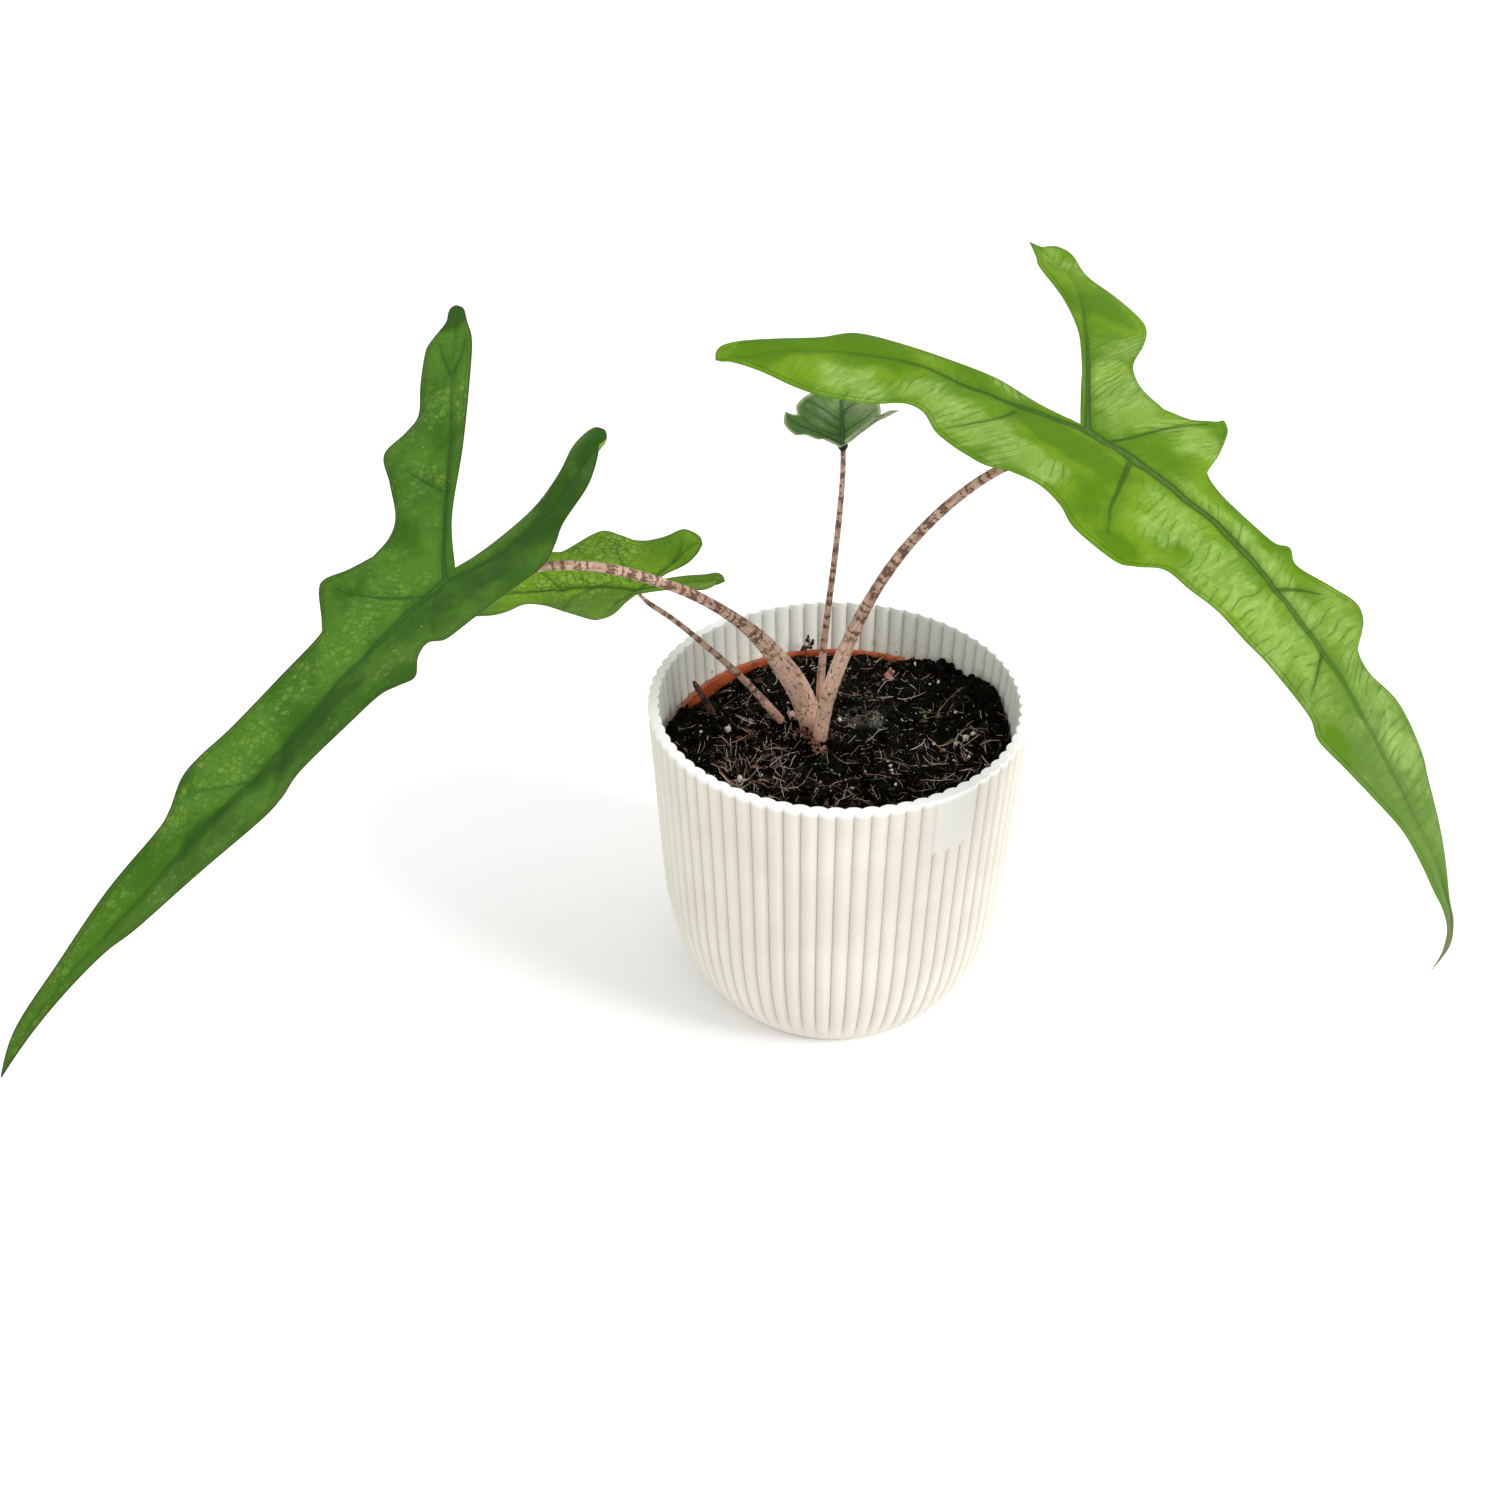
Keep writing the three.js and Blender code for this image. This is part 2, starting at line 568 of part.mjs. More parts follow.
/** The place in space of a point of the blade, raised by lift from the blade's surface. */
function bladePoint(leaf, profile, [u, v], raised) {
  const step = THREE.MathUtils.clamp(Math.floor(u), 0, profile.length - 2);
  const [a, b] = [profile[step], profile[step + 1]];
  const part = u - step;
  const pitch = u < 0 ? a.pitch : mix(a.pitch, b.pitch, part);
  const x = u < 0 ? u * Math.cos(pitch) : mix(a.x, b.x, part);
  const z = u < 0 ? u * Math.sin(pitch) : mix(a.z, b.z, part);
  const lobeRise = u < 0 ? (leaf.lift[v < 0 ? 0 : 1] * u * u) / (25 - u) : 0;
  const height = leaf.fold * (Math.hypot(v, 3) - 3) - leaf.curl * v * v + lobeRise + raised;
  const roll = leaf.roll * DEG;
  const across = v * Math.cos(roll) - height * Math.sin(roll);
  const up = v * Math.sin(roll) + height * Math.cos(roll);
  return new THREE.Vector3(x - up * Math.sin(pitch), across, z + up * Math.cos(pitch))
    .applyAxisAngle(new THREE.Vector3(0, 0, 1), leaf.heading * DEG)
    .add(vector(leaf.junction));
}

const outline = (points) => new THREE.SplineCurve(points.map(([u, v]) => new THREE.Vector2(u, v)));

/** The six strips of a blade, each a rib and the margin that its rows run to. */
function bladeStrips(leaf) {
  const forward = (k) => (k / leaf.rows) ** 1.3;
  const back = (k) => k / leaf.lobeRows;
  return [leaf.left, leaf.right].flatMap((side) => [
    { rib: leaf.rib, margin: side.margin, rows: leaf.rows, at: forward, veins: leaf.veins },
    { rib: side.lobeRib, margin: side.lobe, rows: leaf.lobeRows, at: back, veins: leaf.veins / 2 },
    { rib: side.lobeRib, margin: side.sinus, rows: leaf.lobeRows, at: back, veins: leaf.veins / 2 },
  ]);
}

/** A blade of even thickness, pleated between its side veins, with its ribs standing out below. */
function leafGeometry(leaf, extra = 0) {
  const profile = ribProfile(leaf.droop);
  const corners = [];
  const ribShare = [];
  for (const strip of bladeStrips(leaf)) {
    const [rib, margin] = [outline(strip.rib), outline(strip.margin)];
    const grid = [];
    for (let k = 0; k <= strip.rows; k += 1) {
      const t = strip.at(k);
      const [from, to] = [rib.getPointAt(t), margin.getPointAt(t)];
      const width = from.distanceTo(to);
      const pleat = 0.5 - 0.5 * Math.cos(2 * Math.PI * strip.veins * t);
      grid.push(BLADE_COLUMNS.map((c) => {
        const [u, v] = [mix(from.x, to.x, c), mix(from.y, to.y, c)];
        const bulge = leaf.pleat * pleat * Math.sin(Math.PI * c) * Math.min(1, width / 20);
        const place = bladePoint(leaf, profile, [u, v], bulge);
        return { place, rib: c === 0 ? 1 - 0.8 * t : 0 };
      }));
    }
    for (let k = 0; k < strip.rows; k += 1) {
      for (let c = 0; c + 1 < BLADE_COLUMNS.length; c += 1) {
        const quad = [grid[k][c], grid[k][c + 1], grid[k + 1][c + 1], grid[k + 1][c]];
        const diagonal = (i, j) => quad[i].place.distanceTo(quad[j].place);
        const order = diagonal(1, 3) < diagonal(0, 2) ? [0, 1, 3, 1, 2, 3] : [0, 1, 2, 0, 2, 3];
        corners.push(...order.map((i) => quad[i]));
      }
    }
    ribShare.push(corners.length);
  }
  return thicken(leaf, corners, ribShare, extra);
}

/** Welds a blade's triangles, turns them all upwards, and gives them a lower face and an edge. */
function thicken(leaf, corners, stripEnds, extra) {
  const keys = new Map();
  const points = [];
  const ribs = [];
  const idOf = ({ place, rib }) => {
    const key = place.toArray().map((value) => Math.round(value * 100)).join();
    if (!keys.has(key)) {
      keys.set(key, points.length);
      points.push(place);
      ribs.push(0);
    }
    const id = keys.get(key);
    ribs[id] = Math.max(ribs[id], rib);
    return id;
  };
  const top = [];
  let start = 0;
  stripEnds.forEach((end) => {
    const strip = [];
    for (let i = start; i < end; i += 3) {
      const ids = corners.slice(i, i + 3).map(idOf);
      if (new Set(ids).size === 3) strip.push(ids);
    }
    const lean = strip.reduce((sum, [a, b, c]) => {
      const [ab, ac] = [points[b].clone().sub(points[a]), points[c].clone().sub(points[a])];
      return sum + ab.cross(ac).z;
    }, 0);
    strip.forEach((ids) => top.push(lean < 0 ? ids.reverse() : ids));
    start = end;
  });
  const sheet = indexedGeometry(points, top.flat());
  sheet.computeVertexNormals();
  const { normal } = sheet.attributes;
  const normals = points.map((_, i) => new THREE.Vector3().fromBufferAttribute(normal, i));
  const half = BLADE / 2 + extra;
  const upper = points.map((p, i) => p.clone().addScaledVector(normals[i], half));
  const lower = points.map((p, i) => p.clone()
    .addScaledVector(normals[i], -half - leaf.ribDepth * ribs[i]));
  const lift = points.length;
  const index = top.flatMap(([a, b, c]) => [a, b, c, c + lift, b + lift, a + lift]);
  const open = new Map();
  top.forEach(([a, b, c]) => [[a, b], [b, c], [c, a]].forEach(([from, to]) => {
    if (!open.delete(`${to},${from}`)) open.set(`${from},${to}`, [from, to]);
  }));
  open.forEach(([from, to]) => {
    index.push(to, from, from + lift, to, from + lift, to + lift);
  });
  return indexedGeometry([...upper, ...lower], index);
}

// The plant in its pots

const pot = solid(coverPot()).add(solid(coverPlate()));
addPiece('cover_pot', geometryOf(pot), COLOURS.coverPot);
addPiece('nursery_pot', geometryOf(nurseryPot()), COLOURS.nurseryPot);

let soil = soilBody().subtract(corm(FIT)).subtract(stubSolid(FIT));
for (const [name, leaf] of Object.entries(LEAVES)) {
  soil = soil.subtract(stalkSolid(name, FIT));
  const blade = leafGeometry(leaf);
  addPiece(`leaf_${name}`, blade, COLOURS[name]);
  const room = solid(leafGeometry(leaf, FIT));
  const stalk = stalkSolid(name).trimByPlane([0, 0, 1], STALK_FOOT).subtract(room);
  addPiece(`stalk_${name}`, weld(geometryOf(largest(stalk)), SLIVER), COLOURS.stalk);
}
addPiece('soil', geometryOf(largest(soil)), COLOURS.soil);
addPiece('corm_and_roots', geometryOf(corm()), COLOURS.corm);
addPiece('withered_stalk_stub', geometryOf(stubSolid()), COLOURS.stub);

export default group;
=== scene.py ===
import math
from functools import cached_property

import bmesh
import bpy
import numpy as np
from mathutils import Matrix, Vector


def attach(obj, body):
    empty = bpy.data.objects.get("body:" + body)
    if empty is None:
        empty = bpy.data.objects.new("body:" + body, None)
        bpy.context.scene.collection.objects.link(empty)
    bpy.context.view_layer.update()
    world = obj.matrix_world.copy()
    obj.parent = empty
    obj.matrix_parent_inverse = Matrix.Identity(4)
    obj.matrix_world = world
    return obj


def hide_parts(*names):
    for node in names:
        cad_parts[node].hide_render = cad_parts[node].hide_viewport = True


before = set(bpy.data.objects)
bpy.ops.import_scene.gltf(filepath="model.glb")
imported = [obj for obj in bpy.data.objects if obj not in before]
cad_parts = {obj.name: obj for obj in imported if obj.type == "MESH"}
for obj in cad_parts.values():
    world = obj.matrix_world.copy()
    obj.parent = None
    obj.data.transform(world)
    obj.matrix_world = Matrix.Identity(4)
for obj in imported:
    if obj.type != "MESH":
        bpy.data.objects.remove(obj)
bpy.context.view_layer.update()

MM = 0.001
DEG = math.pi / 180
TURN = 2 * math.pi

# Dimensions in millimetres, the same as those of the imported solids. Only the finer surface has the
# soil's back_level, dip, bare_to and heaps, and some more points on the leaves' outlines.

COVER_OUTSIDE = [(46.5, 0), (53.5, 8), (60, 20), (64, 35), (66, 50), (69.5, 129)]
COVER_RADIUS, COVER_TOP = COVER_OUTSIDE[-1]
COVER_WALL = 3.1
COVER_FLOOR = 3.5
FLUTES = 72
FIRST_VALLEY = -3.18 * DEG
FLUTE_DEPTH = 1.1
PLATE = {"centre": 33 * DEG, "width": 14 * DEG, "bottom": 105.0}

NURSERY = {
    "stands_at": 3.85, "top": 109.0, "base": 43.0, "shoulder": 60.6, "rim": 63.3, "rim_height": 7.0,
    "rim_wall": 1.8, "wall": 1.4, "holes": 6, "hole": 4.0, "hole_circle": 30.0,
}

SOIL = {
    "level": 106.5, "lip_radius": 63.7, "lip_level": 110.9, "back_level": 107.6,
    "dip": 2.6, "dip_at": 141 * DEG, "dip_width": 20 * DEG,
    "bare_from": 68 * DEG, "bare_to": 154 * DEG, "ramp": 26 * DEG, "mound_width": 12 * DEG,
    # At the wall: the angle, and the rise
    "mounds": [(20 * DEG, 6.0), (46 * DEG, 2.0), (174 * DEG, 3.0)],
    # Round the foot: the rise, the place, and the square of the half width across and fore and aft
    "heaps": [(1.3, -9, 6, 110, 110), (-0.8, 6, 4, 40, 40), (2.6, -5.6, -2.6, 16, 8),
              (4.2, -12.6, 0.6, 14, 9)],
    # Places and sizes of the patch of mould
    "mould": [(9.0, 18.8, 4.2), (15.5, 16.0, 2.6)],
}
# Between the soil and the nursery pot
SOIL_GAP = 0.45
# The stalks' foot, how far out litter lies in the open, and how far the hairs at the wall reach
STALKS_FOOT = (-8.5, 6.5)
OPEN_RADIUS = 60
HAIR_REACH = 63.9

# Points of a blade are given along and across it, from where its stalk joins it. The margin runs
# from the shoulder to the blade's tip, the lobe's outer edge from the shoulder and its inner edge,
# the sinus, from the notch, both to the lobe's tip.
SIDES = ("left", "right")
LEAVES = {
    "large_right": {
        "junction": (73.7, -25, 245.7), "heading": -50,
        "droop": [(0, -8), (50, -22), (105, -36), (160, -54), (210, -84)],
        "roll": 0, "fold": 0.04, "curl": 0.0008, "lift": (0.05, 0.1),
        "rib_depth": 2.0, "veins": 9, "pleat": 1.6,
        "rib": [(0, 0), (40, 2), (80, 3), (124, 1), (160, 3), (195, 8), (205, -2)],
        "notch": (-4, 1),
        "left": {
            "margin": [(5, 31), (13, 34), (16.5, 38.5), (18.7, 42), (19, 44.3), (21.5, 43), (25, 39),
                       (31, 27), (34, 18), (45, 14), (64, 15), (69, 19), (75, 16), (86, 22), (94, 26),
                       (100, 23), (105, 15), (113, 13), (125, 17), (141, 16), (152, 13), (181, 8),
                       (193, 9), (201, 7)],
            "lobe": [(-6, 34), (-13, 38), (-19, 44), (-25, 56), (-31, 65), (-38, 70), (-52, 73), (-67, 74),
                     (-80, 80.5), (-86, 80), (-88, 76.5), (-88.6, 72.8)],
            "sinus": [(-18, 17), (-33, 33), (-44, 43), (-60, 53), (-78, 60.5), (-84, 65)],
            "lobe_rib": [(-29, 32), (-44, 47), (-58, 60), (-75, 70)],
            "lobe_tip": (-93, 71),
        },
        "right": {
            "margin": [(2, -38.5), (12, -35.8), (22.3, -37.3), (32.1, -41), (47, -39.7), (52, -35),
                       (57, -27.5), (66, -25.5), (75, -22.8), (86.5, -21.7), (94.3, -20.2), (101.7, -19.4),
                       (108.8, -18.6), (115.7, -18.2), (122, -20), (133, -15.8), (144.8, -10.6),
                       (157, -4.9), (167.5, -2.1), (178.6, 0.9), (187, 4.2), (195, 5.6), (202, 2.6)],
            "lobe": [(-4, -42.3), (-11.5, -43.3), (-18, -43.5), (-25.3, -42.6), (-33.5, -39),
                     (-38.5, -38.8), (-42.3, -41.4), (-46, -48), (-52, -54.5), (-60, -60.5), (-68.3, -64),
                     (-79.4, -67), (-88, -71)],
            "sinus": [(-20, -2), (-36, -3), (-50, -8), (-68, -17), (-80, -26), (-84, -38), (-91, -51),
                      (-96, -61), (-97.6, -67.7), (-95.9, -72)],
            "lobe_rib": [(-29, -12), (-53, -20), (-66, -30), (-80, -46)],
            "lobe_tip": (-92.4, -75.1),
        },
    },
    "large_left": {
        "junction": (-133.6, -20, 190.7), "heading": -130,
        "droop": [(0, -14), (50, -23), (105, -21), (155, -27), (207, -47)],
        "roll": 6, "fold": 0.2, "curl": 0.0008, "lift": (0.3, 0.4),
        "rib_depth": 2.0, "veins": 9, "pleat": 1.4,
        "rib": [(0, 0), (60, 1), (113, 2), (157, 0), (193, -4), (208, -4)],
        "notch": (-6, -1),
        "left": {
            "margin": [(4, 33), (17, 31), (24, 29), (27, 23), (33, 25), (40, 32), (45, 28), (50, 24),
                       (62, 22), (83, 20), (94, 23), (104, 23), (125, 18), (148, 12), (161, 6), (184, 0)],
            "lobe": [(-4, 35), (-14, 39), (-22, 37), (-30, 34), (-43, 34), (-50, 32), (-55.6, 29.2),
                     (-59.7, 26.6)],
            "sinus": [(-20, 8), (-34, 15), (-47, 16), (-57, 14.2), (-62.6, 15.8), (-65.3, 18.5),
                      (-65.6, 21.5), (-64.6, 25.5)],
            "lobe_rib": [(-10, 10), (-24, 21), (-36, 25), (-48, 24)],
            "lobe_tip": (-61.9, 28.4),
        },
        "right": {
            "margin": [(5, -30), (14, -33), (21, -37), (26, -35), (36, -23), (41, -20), (60, -20),
                       (82, -20), (95, -21), (104, -20), (115, -14), (123, -12), (144, -11), (170, -8),
                       (194, -8)],
            "lobe": [(-5, -32), (-13, -37), (-23, -49.5), (-32, -61), (-43, -59.5), (-51, -60), (-62, -69),
                     (-74, -77.4), (-79, -79.1), (-88.4, -79), (-92.2, -81), (-94.8, -81.9),
                     (-96.6, -80.7)],
            "sinus": [(-22, -17), (-48, -34), (-73, -52), (-85.8, -62.2), (-92, -70.2), (-96.2, -75.6)],
            "lobe_rib": [(-13, -13), (-42, -36), (-69, -58), (-85, -71)],
            "lobe_tip": (-96.8, -79),
        },
    },
    "small_left": {
        "junction": (-72.1, 15, 165.4), "heading": 180,
        "droop": [(0, -4), (40, -8), (80, -14)],
        "roll": 5, "fold": 0.22, "curl": 0.001, "lift": (0, 0.1),
        "rib_depth": 0.9, "veins": 5, "pleat": 1.2,
        "rib": [(0, 0), (14, -4), (26, -5), (50, -6), (76, -3)],
        "notch": (-4, -3),
        "left": {
            "margin": [(0, 4), (3, 14), (6, 27), (10, 32), (14, 31), (25, 18), (32, 9), (38, 4), (42, 4),
                       (46, 10), (51, 12), (59, 9), (68, 5)],
            "lobe": [(-5, 3), (-12, 3), (-19, 7), (-25, 8.2), (-28.5, 3), (-29.6, -1.5)],
            "sinus": [(-9, -6), (-17, -7.2), (-24, -7.2), (-28, -7.8), (-30.4, -5.8)],
            "lobe_rib": [(-8, -1.5), (-15, -1.5), (-22, -1), (-28, -1.5)],
            "lobe_tip": (-31.4, -2),
        },
        "right": {
            "margin": [(3, -32), (8, -36), (14, -40), (19, -38), (29, -29), (34, -29), (46, -25),
                       (60, -15)],
            "lobe": [(-2, -31), (-9, -33), (-15, -37), (-19, -35), (-22, -31)],
            "sinus": [(-10, -9), (-17, -14), (-21, -20)],
            "lobe_rib": [(-8, -10), (-15, -20), (-20, -26)],
            "lobe_tip": (-23, -26),
        },
    },
    "young_centre": {
        "junction": (-0.1, 16, 222.1), "heading": 90,
        "droop": [(0, 25), (20, 20), (40, 0)],
        "roll": 0, "fold": 0.8, "curl": 0.008, "lift": (0, 0),
        "rib_depth": 0.8, "veins": 3, "pleat": 0.7,
        "rib": [(0, 0), (20, 0), (40, 0)],
        "notch": (-2, 1),
        "left": {
            "margin": [(5.5, 15.5), (9, 15.8), (13.6, 13.5), (17.5, 10.8), (24, 8.5), (32, 4.5)],
            "lobe": [(4.8, 17)],
            "sinus": [(-0.5, 5.5), (-2, 9), (-2, 13), (-3.5, 16.5), (-0.4, 20)],
            "lobe_rib": [(1, 8), (1, 14), (2, 18)],
            "lobe_tip": (5, 19.7),
        },
        "right": {
            "margin": [(5.9, -12.7), (9.5, -12.8), (14, -12.1), (20, -10.5), (27, -8), (34, -4.5)],
            "lobe": [(6.8, -15.5)],
            "sinus": [(0, -2), (2.3, -5.8), (4, -10.8), (4.4, -14.4)],
            "lobe_rib": [(3, -5), (5, -10.5), (5.6, -14.4)],
            "lobe_tip": (5.5, -18.7),
        },
    },
}

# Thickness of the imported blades, and half of the finer ones at their edge and what they gain inside
BLADE = 0.9
HALF_AT_EDGE, HALF_GAINED = 0.07, 0.22

# Stalks: their route, half widths across and fore and aft, the shares of the length where the
# sheath and the waist end, and how far below the blade's middle they end
STALKS = {
    "large_left": {
        "path": [(-7.5, 9.5, 100), (-8.8, 9, 108), (-13.2, 8, 124), (-19.7, 6, 138), (-31.2, 3, 155),
                 (-49.7, -3, 173), (-66.1, -8, 183.5), (-82.3, -13, 191), (-99.2, -17, 194),
                 (-115, -19, 191)],
        "foot": (4.5, 3.4), "sheath": (4.5, 3.4), "waist": (1.9, 1.8), "neck": (1.45, 1.45),
        "sheath_end": 0.14, "waist_at": 0.46, "drop": 1.3, "sides": 32,
    },
    "large_right": {
        "path": [(-7.1, 0.5, 100), (-6.5, 0, 110), (-4.1, -1, 128.5), (1.9, -3, 151.5), (9.6, -6, 173.5),
                 (19.9, -10, 195), (33.9, -15, 215.5), (48.2, -19, 229.5), (61, -22, 236.5)],
        "foot": (2.8, 2.6), "sheath": (2.8, 2.6), "waist": (1.95, 1.9), "neck": (1.4, 1.4),
        "sheath_end": 0.25, "waist_at": 0.48, "drop": 1.3, "sides": 32,
    },
    "small_left": {
        "path": [(-14, 11.5, 100), (-19, 13, 107), (-27.7, 13, 119), (-36.9, 14, 130), (-47.1, 14, 141),
                 (-59.9, 15, 153), (-69, 15, 160.4)],
        "foot": (1.8, 1.6), "sheath": (1.7, 1.5), "waist": (1.2, 1.15), "neck": (0.9, 0.9),
        "sheath_end": 0.1, "waist_at": 0.5, "drop": 0.8, "sides": 20,
    },
    "young_centre": {
        "path": [(-5, 18, 100), (-5.2, 18, 109), (-5.7, 18, 120), (-5, 18, 137), (-3.6, 18, 155),
                 (-1.2, 17, 184), (0.2, 17, 208), (0.1, 16.2, 218)],
        "foot": (1.8, 1.7), "sheath": (1.6, 1.5), "waist": (1.2, 1.2), "neck": (0.9, 0.9),
        "sheath_end": 0.1, "waist_at": 0.45, "drop": 0.0, "sides": 20,
    },
}
# Between the rings of a stalk, and from its end to the first ring
RING_SPACING = 0.45
FIRST_RING = 2.2
STUB = {"path": [(-43.4, 15.5, 96), (-46, 16, 109), (-53.2, 17, 124.5)], "foot": 1.6, "top": 1.1}

# Side veins of each blade: half width at the rib, then points along and across
SIDE_VEINS = {
    "large_right": [
        (0.95, [(19, -2), (25, -13), (31, -24), (38, -33)]),
        (0.75, [(7, 1), (10, 9), (12, 19), (14, 29), (18, 38)]),
        (0.6, [(-20, -12), (-20, -20), (-22, -29), (-25, -38)]),
        (0.7, [(78, 3), (82, 11), (86, 17)]),
        (0.6, [(101, 2), (105, -5), (110, -13)]),
    ],
    "large_left": [
        (0.65, [(9, -1), (15, -8), (19, -17), (22, -26), (22, -32)]),
        (0.5, [(-29, -28), (-29, -38), (-30, -47)]),
        (0.4, [(-70, -60), (-75, -68), (-80, -75)]),
        (0.35, [(-72, -60), (-80, -62), (-85, -65)]),
        (0.4, [(6, 2), (17, 13), (22, 20)]),
        (0.3, [(78, 2), (88, 12), (94, 17)]),
        (0.3, [(92, 2), (102, -8), (107, -13)]),
    ],
    "small_left": [
        (0.4, [(18, -3), (23, 2), (25, 10), (25, 16)]),
        (0.4, [(28, -5), (33, -12), (37, -17), (43, -23)]),
        (0.35, [(3, -6), (6, -16), (8, -22), (10, -32)]),
        (0.35, [(2, 2), (6, 12), (9, 24)]),
        (0.3, [(-12, -16), (-15, -24), (-15, -32)]),
    ],
    "young_centre": [
        (0.4, [(10, 1), (12, 5), (13, 9), (13, 12)]),
        (0.4, [(10, 1), (14, -1), (16, -4), (17, -7), (18, -10)]),
        (0.35, [(3, 1), (3, 6), (3, 10), (5, 14)]),
        (0.35, [(4, 1), (6, -3), (7, -7), (9, -11)]),
        (0.25, [(6, 1), (7, 5), (8, 9), (9, 13)]),
        (0.25, [(22, 1), (26, 4), (29, 5)]),
        (0.25, [(20, 0), (24, -4), (27, -6)]),
    ],
}

# Soft patches of each blade: place along and across, half lengths, and how much pale painted sheen
# (above 0), a stand-in for reflections off the waxy skin that also brings out pale mottling on the
# dark blade, or clear green (below 0) the blade has there
PATCHES = {
    "large_right": [
        (-8, -11, 12, 7, -1.0), (10, -11, 15, 8, -1.3), (25, -27, 9, 10, -1.0), (42, -35, 10, 5, -0.8),
        (54, -17, 4, 4, -1.0), (-42, -9, 16, 4, -0.6), (-70, -27, 17, 10, -1.3), (-90, -58, 9, 15, -1.3),
        (-82, -44, 7, 7, -0.5), (-48, 62, 15, 8, -0.9), (-58, 52, 12, 5, -0.8), (20, 12, 11, 6, -0.6),
        (52, 11, 12, 3, -0.5), (125, -14, 8, 4, -1.0), (150, -6, 12, 3, -0.4), (0, -28, 20, 7, 1.1),
        (-21, -31, 11, 9, 0.9), (46, -12, 14, 9, 1.0), (72, -12, 18, 9, 1.0), (100, -11, 18, 8, 0.6),
        (2, 20, 12, 11, 1.0), (-14, 28, 11, 10, 1.0), (25, 26, 7, 9, 1.3), (70, 7, 34, 4, 0.9),
        (92, 17, 10, 7, 0.4), (132, 9, 22, 6, 0.6), (-58, -46, 16, 8, 1.0), (-44, -30, 11, 7, 0.9),
        (-28, -5, 16, 3, 0.6), (-26, 54, 5, 14, 0.7), (-84, 74, 9, 5, 0.6), (165, 0, 20, 4, 0.1),
    ],
    "large_left": [
        (60, -10, 26, 7, 0.9), (92, -9, 10, 9, 1.0), (112, -10, 10, 6, 1.0), (36, 14, 9, 7, 0.8),
        (-62, -47, 8, 9, 0.8), (-52, -56, 9, 7, 0.7), (-32, -38, 9, 7, 0.6), (136, 8, 8, 5, 0.9),
        (20, -14, 14, 9, 0.4), (150, -6, 10, 3, 0.6), (190, -5, 22, 5, 1.1), (60, 16, 20, 4, 0.3),
        (-34, 24, 26, 12, -1.0), (4, 14, 14, 8, -0.4), (-92, -78, 8, 7, -1.2), (72, 6, 20, 5, -0.5),
        (120, 3, 20, 4, -0.7), (30, -24, 10, 6, -0.5), (60, 8, 40, 7, -0.5),
    ],
    "small_left": [
        (12, 24, 8, 9, -0.7), (10, -26, 9, 8, 0.9), (28, -8, 16, 5, 0.9), (-14, -22, 9, 8, -0.6),
        (50, 5, 8, 6, -0.5), (20, 8, 10, 8, 0.4),
    ],
    "young_centre": [
        (9, -8, 6, 3, 0.4), (7, -15, 5, 4, 2.2), (12, 8, 8, 5, 0.4), (3, 17, 4, 4, -0.4), (20, 0, 8, 3, 0.5),
    ],
}
